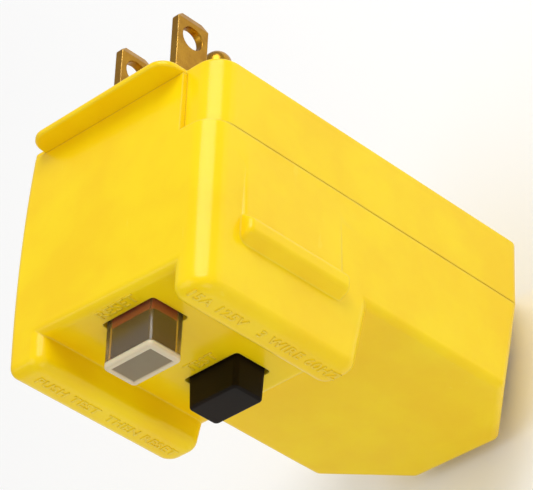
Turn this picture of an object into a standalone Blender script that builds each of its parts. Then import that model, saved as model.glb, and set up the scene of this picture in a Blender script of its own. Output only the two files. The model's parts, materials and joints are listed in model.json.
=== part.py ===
"""Right-angle ground-fault plug head: a yellow two-part housing, blades, two buttons and the trip mechanism.

Millimetres inside the script, metres in the scene. The origin lies midway between the two flat blades on
the face that meets the outlet: +Y goes into the outlet, +Z is up, +X is to the right seen from the front.
"""

import math

import bmesh
import bpy
from mathutils import Vector

MM = 0.001
GAP = 0.3  # clearance between neighbouring pieces
ARC_STEPS = 4  # segments in a rounded corner
ROUND_SIDES = 20  # sides of a turned piece

# Prongs, to the 15 A two-pole, three-wire pattern
BLADE_SPACING = 12.7
BLADE_WIDTH = 6.35
BLADE_THICKNESS = 1.5
BLADE_LENGTH = 17.2
BLADE_TIP_CHAMFER = 1.1
BLADE_HOLE_FROM_TIP = 4.1
BLADE_HOLE_RADIUS = 2.0
PIN_DROP = 11.9
PIN_RADIUS = 2.4
PIN_LENGTH = 20.9

# Housing envelope
HALF_WIDTH = 20.1
FRONT_Y = -29.0  # main front face of the lower half
FLOOR_Y = -36.5  # floor of the channel that holds the buttons
RIDGE_Y = -41.7  # front of the two guard ridges
PARTING_Y = -11.85  # joint line between cover and housing
COVER_TOP_Z = 6.4
NEAR_TOP_Z = 7.15
FAR_TOP_Z = 7.5
TOP_SWELL = 1.4
SWELL_Y = -28.0
COVER_END_Z = -70.4
FRONT_END_Z = -68.4
COVER_CHAMFER = 80.0  # |x| + |z| on the 45 degree corner
FRONT_CHAMFER = 77.0
SINK = 1.2  # how far the lower half stays below the top face
CREASE_Z = -50.7
CREASE_FALL = 0.3  # how far the front face falls away between the crease and the end
WALL = 2.2
FACE_PLATE = 2.4
NEAR_CORNER = 4.2
FAR_CORNER = 1.5
END_CORNER = 1.8
FRONT_ROUND = 1.3

# Face flange
FLANGE_X = (-17.0, 13.3)
FLANGE_Z = 11.3
FLANGE_THICKNESS = 1.1
FLANGE_CORNER = 3.0
RETURN_X = 13.5  # where the cover's corner return ends on the top face

# Button block with its ridges
BLOCK_FOOT_Z = -27.4
BLOCK_FRONT_Z = -24.8
BLOCK_CORNER = 2.6
RIDGE_ROUND = 1.8
CHANNEL_HALF = 13.0
CHANNEL_MOUTH_ROUND = 1.6
CHANNEL_HEEL_ROUND = 1.4
RIDGE_INNER_ROUND = 2.6
CHANNEL_FOOT_Z = -28.9  # past the foot of the block, so that the floor runs out at the foot

# Finger grips on both sides
GRIP_Z = (-20.8, 0.3)
GRIP_CREST_Y = -29.0
GRIP_FOOT_Y = -31.5
GRIP_RISE = 2.1

# Buttons: centre (x, z), size at the base and at the outer end
RESET_CENTRE = (0.6, 0.2)
RESET_BASE = (10.3, 6.5)
RESET_TIP = (10.2, 6.4)
RESET_TIP_Y = -44.3
TEST_CENTRE = (-0.9, -18.1)
TEST_BASE = (10.7, 6.4)
TEST_TIP = (10.1, 6.0)
TEST_TIP_Y = -41.8
BUTTON_BACK_Y = -32.8
FLOOR_BACK_Y = FLOOR_Y + WALL
SLOT_MARGIN = 0.35

# Mechanism levels
BOARD_Y = (-14.2, -12.6)
FRAME_Y = (-25.8, -24.4)
CARRIAGE_Y = (-20.8, -17.4)
LATCH_Y = (-16.9, -16.1)
CONTACT_Y = (-24.1, -23.4)
COIL_Y = -18.9
COIL_Z = -9.2
STEM_RADIUS = 1.5
SCREW_PLACES = ((13.2, -20.2), (-13.2, -20.2), (11.2, -58.9), (-11.2, -58.9))
CORD_Y = -15.0
CORD_BORE = 4.2
CORD_MOUTH_RADIUS = 5.6
SHOULDER_Y = (-4.3, -2.7)  # behind the face plate
SHOULDER_HALF = 4.1
POCKET_RADIUS = 2.55
POCKET_DEPTH = 5.6
SHANK_HOLE_RADIUS = 1.5
COVER_BOSS_RADIUS = 3.3
STEM_HOLE_RADIUS = 1.9
PIN_HOLE_RADIUS = 1.8
TERMINAL_Z = -51.4
TERMINAL_X = 7.6
TERMINAL_HOLE_RADIUS = 1.7
TOROID_CENTRE = (0.0, -20.2)
TOROID_RADII = (5.6, 3.0)
BOSS_RADIUS = 2.8
PILOT_RADIUS = 1.35
CLAMP_PILOT_RADIUS = 1.25
CLAMP_X = 6.0
CLAMP_Z = -62.75
CRADLE_TOP_Y = -16.6


def clear_scene():
    """Empty the file of objects before building."""
    for thing in list(bpy.data.objects):
        bpy.data.objects.remove(thing, do_unlink=True)


def finish(name, colour, roughness, metallic=0.0, transmission=0.0):
    """Plain Principled material for one kind of surface."""
    material = bpy.data.materials.get(name)
    if material is None:
        material = bpy.data.materials.new(name)
        material.use_nodes = True
        shader = material.node_tree.nodes["Principled BSDF"]
        shader.inputs["Base Color"].default_value = (*colour, 1.0)
        shader.inputs["Roughness"].default_value = roughness
        shader.inputs["Metallic"].default_value = metallic
        shader.inputs["Transmission Weight"].default_value = transmission
    return material


def yellow():
    """Moulded yellow housing plastic."""
    return finish("yellow_plastic", (0.93, 0.66, 0.02), 0.42)


def brass():
    """Rolled brass of blades and contacts."""
    return finish("brass", (0.62, 0.36, 0.09), 0.28, 1.0)


def steel():
    """Plated steel of screws, springs and yoke."""
    return finish("steel", (0.62, 0.62, 0.6), 0.3, 1.0)


def copper():
    """Enamelled copper of the coils."""
    return finish("copper", (0.72, 0.36, 0.2), 0.3, 1.0)


def black():
    """Black moulded plastic."""
    return finish("black_plastic", (0.02, 0.018, 0.016), 0.4)


def orange():
    """Orange plastic of the reset insert."""
    return finish("orange_plastic", (0.85, 0.12, 0.02), 0.4)


def clear_plastic():
    """Clear plastic of the reset key."""
    return finish("clear_plastic", (0.62, 0.57, 0.47), 0.25, 0.0, 0.6)


def rubber():
    """Soft black rubber."""
    return finish("rubber", (0.03, 0.03, 0.03), 0.7)


def green():
    """Board laminate."""
    return finish("board_laminate", (0.03, 0.2, 0.08), 0.45)


def ferrite():
    """Coated ferrite cores."""
    return finish("ferrite", (0.05, 0.05, 0.055), 0.55)


def oriented(axis, first, second, along):
    """Point from two outline coordinates and a distance along the named axis."""
    if axis == "X":
        return (along, first, second)
    if axis == "Y":
        return (first, along, second)
    return (first, second, along)


def new_object(name, mesh, material):
    """Turn a bmesh in millimetres into a scene object."""
    bmesh.ops.recalc_face_normals(mesh, faces=mesh.faces)
    bmesh.ops.scale(mesh, vec=(MM, MM, MM), verts=mesh.verts)
    data = bpy.data.meshes.new(name)
    mesh.to_mesh(data)
    mesh.free()
    data.materials.append(material)
    thing = bpy.data.objects.new(name, data)
    bpy.context.scene.collection.objects.link(thing)
    return thing


def stack(name, axis, sections, material, crease=None):
    """Closed solid through outlines of equal count, stacked along an axis."""
    mesh = bmesh.new()
    rings = []
    for along, outline in sections:
        rings.append([mesh.verts.new(oriented(axis, a, b, along)) for a, b in outline])
    count = len(rings[0])
    for ring, following in zip(rings, rings[1:]):
        for i in range(count):
            j = (i + 1) % count
            mesh.faces.new((ring[i], ring[j], following[j], following[i]))
    mesh.faces.new(rings[0])
    cap = mesh.faces.new(rings[-1])
    if crease is not None:
        bmesh.utils.face_split(cap, rings[-1][crease[0]], rings[-1][crease[1]])
        for vert in rings[-1]:
            past = max(0.0, CREASE_Z - vert.co.z)
            vert.co.y += CREASE_FALL * past / (CREASE_Z - FRONT_END_Z)
    return new_object(name, mesh, material)


def rounded(corners, radii):
    """Outline with each corner replaced by an arc; a radius of 0 keeps the corner."""
    points = []
    total = len(corners)
    for i, corner in enumerate(corners):
        here = Vector(corner)
        if radii[i] == 0:
            points.append(here)
            continue
        back = (Vector(corners[i - 1]) - here).normalized()
        ahead = (Vector(corners[(i + 1) % total]) - here).normalized()
        half = back.angle(ahead) / 2
        centre = here + (back + ahead).normalized() * radii[i] / math.sin(half)
        start = here + back * radii[i] / math.tan(half) - centre
        end = here + ahead * radii[i] / math.tan(half) - centre
        sweep = math.pi - 2 * half
        for step in range(ARC_STEPS + 1):
            share = step / ARC_STEPS
            ahead_part = end * math.sin(share * sweep)
            back_part = start * math.sin((1 - share) * sweep)
            points.append(centre + (ahead_part + back_part) / math.sin(sweep))
    return points


def inset(corners, distance):
    """Corners of a counter-clockwise outline moved inward by a distance."""
    moved = []
    total = len(corners)
    for i, corner in enumerate(corners):
        here = Vector(corner)
        before = (here - Vector(corners[i - 1])).normalized()
        after = (Vector(corners[(i + 1) % total]) - here).normalized()
        normal_before = Vector((-before.y, before.x))
        normal_after = Vector((-after.y, after.x))
        spread = 1 + normal_before.dot(normal_after)
        moved.append(here + (normal_before + normal_after) * distance / spread)
    return moved


def eased(radii, distance):
    """Corner radii of an inset outline, never below a small arc."""
    return [0 if radius == 0 else max(radius - distance, 0.25) for radius in radii]


def rolled_end(corners_at, radii, face, inward, radius, steps=3):
    """Sections that roll the side walls over into an end face; inward points into the solid."""
    sections = []
    for step in range(steps + 1):
        angle = math.pi / 2 * step / steps
        distance = radius * (1 - math.cos(angle))
        along = face + inward * radius * (1 - math.sin(angle))
        sections.append((along, rounded(inset(corners_at(along), distance), eased(radii, distance))))
    return sections


def rectangle(centre, size):
    """Counter-clockwise corners of a rectangle."""
    half_a, half_b = size[0] / 2, size[1] / 2
    a, b = centre
    return [(a + half_a, b + half_b), (a - half_a, b + half_b), (a - half_a, b - half_b),
            (a + half_a, b - half_b)]


def block(name, x, y, z, material):
    """Plain box between three pairs of limits."""
    centre = ((x[0] + x[1]) / 2, (z[0] + z[1]) / 2)
    outline = rectangle(centre, (x[1] - x[0], z[1] - z[0]))
    return stack(name, "Y", [(y[0], outline), (y[1], outline)], material)


def plate(name, axis, outline, limits, material):
    """Outline extruded between two levels of an axis."""
    return stack(name, axis, [(limits[0], outline), (limits[1], outline)], material)


def turned(name, axis, centre, profile, material, sides=ROUND_SIDES):
    """Solid of revolution: profile is (distance along the axis, radius) with closed ends."""
    sections = []
    for along, radius in profile:
        outline = []
        for side in range(sides):
            angle = 2 * math.pi * side / sides
            outline.append((centre[0] + radius * math.cos(angle), centre[1] + radius * math.sin(angle)))
        sections.append((along, outline))
    thing = stack(name, axis, sections, material)
    thing.data.shade_smooth()
    thing.data.set_sharp_from_angle(angle=math.radians(35))
    return thing


def ring(name, axis, centre, limits, outer, inner, material, sides=ROUND_SIDES):
    """Tube with flat ends."""
    body = turned(name, axis, centre, [(limits[0], outer), (limits[1], outer)], material, sides)
    bore = turned("bore", axis, centre, [(limits[0] - 1, inner), (limits[1] + 1, inner)], material, sides)
    return subtract(body, bore)


def boolean(target, tool, operation):
    """Combine two solids and drop the tool."""
    modifier = target.modifiers.new(operation.lower(), "BOOLEAN")
    modifier.operation = operation
    modifier.object = tool
    bpy.context.view_layer.update()
    graph = bpy.context.evaluated_depsgraph_get()
    combined = bpy.data.meshes.new_from_object(target.evaluated_get(graph))
    target.modifiers.clear()
    target.data = combined
    bpy.data.objects.remove(tool, do_unlink=True)
    return target


def subtract(target, *tools):
    """Cut tools out of a solid."""
    for tool in tools:
        boolean(target, tool, "DIFFERENCE")
    return target


def join(target, *tools):
    """Unite tools with a solid."""
    for tool in tools:
        boolean(target, tool, "UNION")
    return target


def smooth(thing, degrees=28):
    """Smooth shading with the real edges kept sharp."""
    thing.data.shade_smooth()
    thing.data.set_sharp_from_angle(angle=math.radians(degrees))
    return thing


def swept(name, path, radius, material, closed_ends=True):
    """Round wire along a list of points."""
    curve = bpy.data.curves.new(name, "CURVE")
    curve.dimensions = "3D"
    curve.bevel_depth = radius * MM
    curve.bevel_resolution = 1
    curve.use_fill_caps = closed_ends
    spline = curve.splines.new("POLY")
    spline.points.add(len(path) - 1)
    for point, place in zip(spline.points, path):
        point.co = (place[0] * MM, place[1] * MM, place[2] * MM, 1.0)
    thing = bpy.data.objects.new(name, curve)
    bpy.context.scene.collection.objects.link(thing)
    curve.materials.append(material)
    return thing


def helix(name, axis, centre, limits, coil_radius, wire_radius, turns, material, per_turn=9):
    """Compression spring with its ends inside the given limits."""
    low = limits[0] + wire_radius
    high = limits[1] - wire_radius
    path = []
    for step in range(int(turns * per_turn) + 1):
        share = step / (turns * per_turn)
        angle = 2 * math.pi * turns * share
        first = centre[0] + coil_radius * math.cos(angle)
        second = centre[1] + coil_radius * math.sin(angle)
        path.append(oriented(axis, first, second, low + (high - low) * share))
    return swept(name, path, wire_radius, material)


def depth_share(y):
    """0 at the joint line, 1 at the main front face."""
    return min(1.0, max(0.0, (PARTING_Y - y) / (PARTING_Y - FRONT_Y)))


def far_top(y):
    """Height of the top face at the far side, which swells gently toward the middle of the depth."""
    return FAR_TOP_Z + TOP_SWELL * max(0.0, 1 - ((y - SWELL_Y) / SWELL_Y) ** 2)


def lower_corners(y):
    """Corners of the cord end with its two 45 degree faces, from the far side round to the near side."""
    share = depth_share(y)
    end = COVER_END_Z + (FRONT_END_Z - COVER_END_Z) * share
    slant = COVER_CHAMFER + (FRONT_CHAMFER - COVER_CHAMFER) * share
    side = slant - HALF_WIDTH
    foot = slant + end
    return [(-HALF_WIDTH, CREASE_Z), (-HALF_WIDTH, -side), (-foot, end), (foot, end), (HALF_WIDTH, -side),
            (HALF_WIDTH, CREASE_Z)]


LOWER_RADII = [0, END_CORNER, END_CORNER, END_CORNER, END_CORNER, 0]


def body_corners(y):
    """Plan outline of the lower half; its top edge is buried in the button block."""
    return [(HALF_WIDTH, NEAR_TOP_Z - SINK), (-HALF_WIDTH, NEAR_TOP_Z - SINK)] + lower_corners(y)


def cover_corners(y):
    """Plan outline of the cover below its flange."""
    return [(HALF_WIDTH, COVER_TOP_Z), (-HALF_WIDTH, COVER_TOP_Z)] + lower_corners(y)


def block_corners(y):
    """Plan outline of the button block and its ridges."""
    share = min(1.0, max(0.0, (FRONT_Y - y) / (FRONT_Y - RIDGE_Y)))
    foot = BLOCK_FOOT_Z + (BLOCK_FRONT_Z - BLOCK_FOOT_Z) * share
    return [(HALF_WIDTH, NEAR_TOP_Z), (-HALF_WIDTH, far_top(y)), (-HALF_WIDTH, foot), (HALF_WIDTH, foot)]


BODY_RADII = [NEAR_CORNER, FAR_CORNER] + LOWER_RADII
BLOCK_RADII = [NEAR_CORNER, FAR_CORNER, BLOCK_CORNER, BLOCK_CORNER]


def channel_corners(y):
    """Everything in front of the floor that is not a ridge."""
    high, low = 20.0, -40.0
    top, foot = NEAR_TOP_Z + 0.4, CHANNEL_FOOT_Z
    wide = 30.0
    return [(wide, high), (-wide, high), (-wide, top + 5), (-CHANNEL_HALF, top + 2.6), (-CHANNEL_HALF, foot),
            (-wide, foot - 3), (-wide, low), (wide, low), (wide, foot - 3), (CHANNEL_HALF, foot),
            (CHANNEL_HALF, top + 1.0), (wide, top + 3)]


def grip(name, side):
    """Finger grip: a ramp that rises from the joint line to a crest with rounded ends."""
    start = PARTING_Y - GAP
    sections = [(side * (HALF_WIDTH - 1.4), grip_outline(start, GRIP_FOOT_Y, 0.0))]
    for height, roll in ((0.0, 0.0), (0.6, 0.12), (1.1, 0.35), (1.5, 0.75), (1.8, 1.25), (GRIP_RISE, 1.6)):
        top = start + (GRIP_CREST_Y + 0.6 - start) * height / GRIP_RISE
        sections.append((side * (HALF_WIDTH + height), grip_outline(top, GRIP_FOOT_Y + roll, roll * 0.7)))
    return stack(name, "X", sections, yellow())


def grip_outline(top, foot, pinch):
    """Outline of the grip at one height, in Y and Z."""
    low, high = GRIP_Z[0] + pinch, GRIP_Z[1] - pinch
    round_foot = min(2.2, (top - foot) * 0.45)
    return rounded([(top, high), (foot, high), (foot, low), (top, low)], [0.2, round_foot, round_foot, 0.2])


def mouth_cutter(name, z_near, z_far, direction, radius):
    """Rounds the edge between the channel floor and an end of the block, given its height at both sides."""
    sections = []
    reach = CHANNEL_HALF + 0.02
    for x in (-reach, reach):
        z = z_near + (z_far - z_near) * (HALF_WIDTH - x) / (2 * HALF_WIDTH)
        outline = [(FLOOR_Y - 0.1, z + 2 * direction), (FLOOR_Y - 0.1, z - radius * direction)]
        for step in range(ARC_STEPS + 1):
            angle = math.pi / 2 * step / ARC_STEPS
            y = FLOOR_Y + radius * (1 - math.cos(angle))
            outline.append((y, z - direction * radius * (1 - math.sin(angle))))
        outline.append((FLOOR_Y + radius, z + 2 * direction))
        sections.append((x, outline))
    return stack(name, "X", sections, yellow())


def build_housing():
    """Front shell with the button block, ridges, grips, bosses and cord cradle."""
    start = PARTING_Y - GAP / 2
    sections = [(start, rounded(body_corners(start), BODY_RADII))]
    rolled = rolled_end(body_corners, BODY_RADII, FRONT_Y, 1, FRONT_ROUND)
    first_crease = 2 * (ARC_STEPS + 1)
    second_crease = first_crease + 1 + 4 * (ARC_STEPS + 1)
    shell = stack("button_housing", "Y", sections + rolled, yellow(), (first_crease, second_crease))
    bulk = []
    for y in (start, -17.0, -22.0, -27.0, -32.0):
        bulk.append((y, rounded(block_corners(y), BLOCK_RADII)))
    bulk += rolled_end(block_corners, BLOCK_RADII, RIDGE_Y, 1, RIDGE_ROUND)
    tower = stack("tower", "Y", bulk, yellow())
    channel = []
    inner = RIDGE_INNER_ROUND
    radii = [0, 0, 0, inner, inner, 0, 0, 0, 0, inner, inner, 0]
    for y, spread in ((FLOOR_Y, 0.0), (RIDGE_Y + 1.3, 0.25), (RIDGE_Y + 0.6, 0.55), (RIDGE_Y + 0.15, 1.1),
                      (RIDGE_Y - 0.1, 1.6)):
        channel.append((y, rounded(inset(channel_corners(y), -spread), radii)))
    subtract(tower, stack("channel", "Y", channel, yellow()))
    foot = BLOCK_FOOT_Z + (BLOCK_FRONT_Z - BLOCK_FOOT_Z) * (FRONT_Y - FLOOR_Y) / (FRONT_Y - RIDGE_Y)
    subtract(tower, mouth_cutter("lip", NEAR_TOP_Z, far_top(FLOOR_Y), 1, CHANNEL_MOUTH_ROUND))
    subtract(tower, mouth_cutter("heel", foot, foot, -1, CHANNEL_HEEL_ROUND))
    panel_top = -FLANGE_THICKNESS - GAP
    panel = []
    for y in (start - 0.5, start, -6.0, panel_top):
        corners = [(RETURN_X - GAP / 2, NEAR_TOP_Z - WALL), (RETURN_X - GAP / 2, NEAR_TOP_Z + 0.05),
                   (-HALF_WIDTH, far_top(y)), (-HALF_WIDTH, NEAR_TOP_Z - WALL)]
        panel.append((y, rounded(corners, [0, 0, FAR_CORNER, 0])))
    join(shell, tower, stack("panel", "Y", panel, yellow()))
    subtract(shell, stack("inside", "Y", inner_sections(start), yellow()))
    subtract(shell, stack("inside_block", "Y", inner_block_sections(), yellow()))
    join(shell, grip("grip_near", 1), grip("grip_far", -1))
    add_housing_fittings(shell)
    return smooth(shell)


def inner_sections(start):
    """Cavity of the lower half, open toward the cover."""
    deep = FRONT_Y + WALL
    radii = eased(BODY_RADII, WALL)
    top = start + 2
    return [(top, rounded(inset(cover_corners(start), WALL), radii)),
            (start - 0.1, rounded(inset(cover_corners(start), WALL), radii)),
            (start - 0.2, rounded(inset(cover_corners(start), WALL), radii)),
            (deep, rounded(inset(cover_corners(deep), WALL), radii))]


def inner_block_sections():
    """Cavity behind the channel floor."""
    radii = eased(BLOCK_RADII, WALL)
    return [(FRONT_Y + WALL + 3, rounded(inset(block_corners(FRONT_Y), WALL + 0.05), radii)),
            (FLOOR_BACK_Y, rounded(inset(block_corners(FLOOR_BACK_Y), WALL + 0.05), radii))]


def slot(name, centre, base):
    """Opening in the channel floor for a button."""
    size = (base[0] + 2 * SLOT_MARGIN, base[1] + 2 * SLOT_MARGIN)
    outline = rounded(rectangle(centre, size), [0.6] * 4)
    return plate(name, "Y", outline, (FLOOR_Y - 3, FLOOR_BACK_Y + 3), yellow())


def add_housing_fittings(shell):
    """Button slots, screw bosses, cord cradle and cord opening."""
    subtract(shell, slot("reset_slot", RESET_CENTRE, RESET_BASE), slot("test_slot", TEST_CENTRE, TEST_BASE))
    bosses = []
    pilots = []
    for x, z in SCREW_PLACES:
        foot = FLOOR_BACK_Y - 0.5 if z > BLOCK_FOOT_Z else FRONT_Y + WALL - 0.5
        boss = [(foot, BOSS_RADIUS), (PARTING_Y - 0.6, BOSS_RADIUS)]
        bosses.append(turned("boss", "Y", (x, z), boss, yellow(), 14))
        pilots.append(turned("pilot", "Y", (x, z), [(-24.0, PILOT_RADIUS), (PARTING_Y + 2, PILOT_RADIUS)],
                             yellow(), 12))
    cradle = block("cradle", (-7.6, 7.6), (FRONT_Y + WALL - 0.5, CRADLE_TOP_Y),
                   (CLAMP_Z - 2.25, CLAMP_Z + 2.25), yellow())
    join(shell, *bosses, cradle)
    subtract(shell, *pilots)
    for x in (-CLAMP_X, CLAMP_X):
        hole = [(-24.0, CLAMP_PILOT_RADIUS), (CORD_Y, CLAMP_PILOT_RADIUS)]
        subtract(shell, turned("pilot", "Y", (x, CLAMP_Z), hole, yellow(), 12))
    subtract(shell, turned("saddle", "Z", (0, CORD_Y), [(-66.0, CORD_BORE), (-59.0, CORD_BORE)], yellow()))
    subtract(shell, cord_opening())


def cord_opening():
    """Round opening in the end wall, shared by both shells."""
    return turned("cord_opening", "Z", (0, CORD_Y), [(-75.0, CORD_MOUTH_RADIUS), (-66.3, CORD_MOUTH_RADIUS)],
                  yellow(), 24)


def build_cover():
    """Rear shell with the face plate, flange, screw pockets and prong slots."""
    edge = PARTING_Y + GAP / 2
    cover_radii = BODY_RADII
    sections = rolled_end(cover_corners, cover_radii, 0.0, -1, 0.5, 2)[::-1]
    sections.append((edge, rounded(cover_corners(edge), cover_radii)))
    shell = stack("prong_cover", "Y", sections, yellow())
    flange_low = -FLANGE_THICKNESS
    corners = [(FLANGE_X[1], FLANGE_Z), (FLANGE_X[0], FLANGE_Z), (FLANGE_X[0], 2.0), (FLANGE_X[1], 2.0)]
    radii = [FLANGE_CORNER, FLANGE_CORNER, 0.5, 0.5]

    def flange_corners(y):
        return corners

    lip = rolled_end(flange_corners, radii, 0.0, -1, 0.4, 2)[::-1]
    lip += rolled_end(flange_corners, radii, flange_low, 1, 0.3, 2)
    hollow_radii = eased(cover_radii, WALL)
    hollow = [(-FACE_PLATE, rounded(inset(cover_corners(0), WALL), hollow_radii)),
              (edge - 1, rounded(inset(cover_corners(edge), WALL), hollow_radii))]
    notch = block("notch", (-25.0, RETURN_X + GAP / 2), (edge - 1, flange_low),
                  (NEAR_TOP_Z - WALL - GAP, 12.0),
                  yellow())
    subtract(shell, notch, stack("hollow", "Y", hollow, yellow()))
    join(shell, stack("lip", "Y", lip, yellow()), top_strip(flange_low))
    for x, z in SCREW_PLACES:
        boss = [(-1.0, COVER_BOSS_RADIUS), (edge + 0.8, COVER_BOSS_RADIUS)]
        join(shell, turned("boss", "Y", (x, z), boss, yellow(), 16))
    for x, z in SCREW_PLACES:
        subtract(shell,
                 turned("pocket", "Y", (x, z), [(-POCKET_DEPTH, POCKET_RADIUS), (1.0, POCKET_RADIUS)],
                        yellow(), 16))
        shank = [(edge - 2, SHANK_HOLE_RADIUS), (-4.0, SHANK_HOLE_RADIUS)]
        subtract(shell, turned("shank_hole", "Y", (x, z), shank, yellow(), 12))
    for sign in (-1, 1):
        centre = (sign * BLADE_SPACING / 2, 0.0)
        size = (BLADE_THICKNESS + 2 * GAP, BLADE_WIDTH + 2 * GAP)
        subtract(shell, plate("blade_slot", "Y", rectangle(centre, size), (-5.0, 2.0), yellow()))
    subtract(shell,
             turned("pin_hole", "Y", (0, -PIN_DROP), [(-5.0, PIN_RADIUS + GAP), (2.0, PIN_RADIUS + GAP)],
                           yellow()))
    subtract(shell, cord_opening())
    return smooth(shell)


def top_strip(flange_low):
    """Far end of the face plate beyond the flange, level with the housing's top panel."""
    corners = [(-10.0, 3.0), (-10.0, FAR_TOP_Z), (-HALF_WIDTH, FAR_TOP_Z), (-HALF_WIDTH, 3.0)]
    outline = rounded(corners, [0, 0, FAR_CORNER, 0])
    return plate("top_strip", "Y", outline, (flange_low, -0.35), yellow())


def build_gasket():
    """Foam seal inside the joint line."""
    start = PARTING_Y - 1.2
    distance = WALL + GAP

    def outline(extra):
        radii = eased(BODY_RADII, distance + extra)
        return rounded(inset(cover_corners(PARTING_Y), distance + extra), radii)

    body = plate("seam_gasket", "Y", outline(0.0), (start, PARTING_Y + 1.2), rubber())
    subtract(body, plate("core", "Y", outline(0.9), (start - 1, PARTING_Y + 3), rubber()))
    return subtract(body, turned("cord_gap", "Z", (0, CORD_Y), [(-75.0, 7.4), (-60.0, 7.4)], rubber(), 24))


def build_screws():
    """Four long cover screws, sunk in their pockets."""
    for number, (x, z) in enumerate(SCREW_PLACES, 1):
        profile = [(-22.5, 0.5), (-21.5, 1.1), (-5.9, 1.1), (-5.3, 1.1), (-5.3, 2.2), (-4.2, 2.2),
                   (-3.6, 1.6)]
        screw = turned(f"cover_screw_{number}", "Y", (x, z), profile, steel(), 14)
        drive = [block("cross", (x - 1.3, x + 1.3), (-4.3, -3.0), (z - 0.25, z + 0.25), steel()),
                 block("cross", (x - 0.25, x + 0.25), (-4.3, -3.0), (z - 1.3, z + 1.3), steel())]
        subtract(screw, *drive)


def blade(name, side):
    """Flat blade with a shoulder behind the face plate and a narrow tail."""
    half = BLADE_WIDTH / 2
    tip = BLADE_LENGTH
    cut = BLADE_TIP_CHAMFER
    back, front = SHOULDER_Y
    right = [(-11.8, 2.0), (back, 2.0), (back, SHOULDER_HALF), (front, SHOULDER_HALF), (front, half),
             (tip - cut, half), (tip, half - cut)]
    outline = right + [(y, -z) for y, z in reversed(right)]
    centre = side * BLADE_SPACING / 2
    limits = (centre - BLADE_THICKNESS / 2, centre + BLADE_THICKNESS / 2)
    body = plate(name, "X", outline, limits, brass())
    for sign in (-1, 1):
        wedge = [(tip - 0.9, sign * BLADE_THICKNESS / 2 + centre), (tip + 0.3, sign * 0.2 + centre),
                 (tip + 0.3, sign * 2 + centre), (tip - 0.9, sign * 2 + centre)]
        points = [(x, y) for y, x in wedge]
        subtract(body, plate("tip_bevel", "Z", points, (-5, 5), brass()))
    bore = [(limits[0] - 1, BLADE_HOLE_RADIUS), (limits[1] + 1, BLADE_HOLE_RADIUS)]
    return subtract(body, turned("hole", "X", (tip - BLADE_HOLE_FROM_TIP, 0.0), bore, brass()))


def build_prongs():
    """Two blades, the round ground pin and the insert that holds their tails."""
    blade("line_blade", 1)
    blade("neutral_blade", -1)
    dome = []
    for step in range(1, 6):
        angle = math.pi / 2 * step / 6
        dome.append((PIN_LENGTH - PIN_RADIUS * (1 - math.sin(angle)), PIN_RADIUS * math.cos(angle)))
    back, front = SHOULDER_Y
    profile = [(-10.4, 1.5), (back, 1.5), (back, 3.5), (front, 3.5), (front, PIN_RADIUS),
               (PIN_LENGTH - PIN_RADIUS, PIN_RADIUS)] + dome + [(PIN_LENGTH, 0.3)]
    turned("ground_pin", "Y", (0, -PIN_DROP), profile, brass(), 24)
    carrier = block("blade_carrier", (-12.0, 12.0), (-8.6, -4.6), (-16.3, 3.2), black())
    for sign in (-1, 1):
        tail = rectangle((sign * BLADE_SPACING / 2, 0.0), (BLADE_THICKNESS + 2 * GAP, 4.0 + 2 * GAP))
        subtract(carrier, plate("tail_slot", "Y", tail, (-10, -3), black()))
    subtract(carrier,
             turned("pin_hole", "Y", (0, -PIN_DROP), [(-10, PIN_HOLE_RADIUS), (-3, PIN_HOLE_RADIUS)],
                    black()))


def button_body(name, centre, base, tip, tip_y, flange, material):
    """Tapered key with a rolled outer edge and a flange behind the floor."""
    radii = [0.8] * 4

    def corners_at(y):
        share = (y - FLOOR_Y) / (tip_y - FLOOR_Y)
        share = min(1.0, max(0.0, share))
        return rectangle(centre, [base[i] + (tip[i] - base[i]) * share for i in (0, 1)])

    sections = [(BUTTON_BACK_Y, rounded(corners_at(FLOOR_BACK_Y), radii))]
    sections += rolled_end(corners_at, radii, tip_y, 1, 0.6, 2)
    key = stack(name, "Y", sections, material)
    skirt = rounded(rectangle(centre, flange), [0.8] * 4)
    return join(key, plate("skirt", "Y", skirt, (BUTTON_BACK_Y, FLOOR_BACK_Y + GAP), material))


def build_reset():
    """Clear hollow cap, the orange plunger inside it and their return spring."""
    cap = button_body("reset_button", RESET_CENTRE, RESET_BASE, RESET_TIP, RESET_TIP_Y, (12.4, 8.4),
                      clear_plastic())
    well = rectangle(RESET_CENTRE, (RESET_BASE[0] - 1.7, RESET_BASE[1] - 1.7))
    subtract(cap, plate("well", "Y", well, (RESET_TIP_Y + 1.2, BUTTON_BACK_Y + 1), clear_plastic()))
    smooth(cap)
    x, z = RESET_CENTRE
    insert = rectangle(RESET_CENTRE, (RESET_BASE[0] - 2.3, RESET_BASE[1] - 2.3))
    plunger = plate("reset_plunger", "Y", insert, (FLOOR_Y - 0.7, -32.0), orange())
    join(plunger, plate("foot", "Y", rectangle(RESET_CENTRE, (10.0, 6.4)), (-32.5, -31.4), orange()))
    join(plunger, turned("stem", "Y", (x, z), [(-31.9, STEM_RADIUS), (-15.7, STEM_RADIUS), (-15.7, 2.3),
                                               (-14.9, 2.3)], orange(), 16))
    helix("reset_spring", "Y", (x, z), (-31.1, -26.1), 2.5, 0.25, 3.5, steel())


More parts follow.
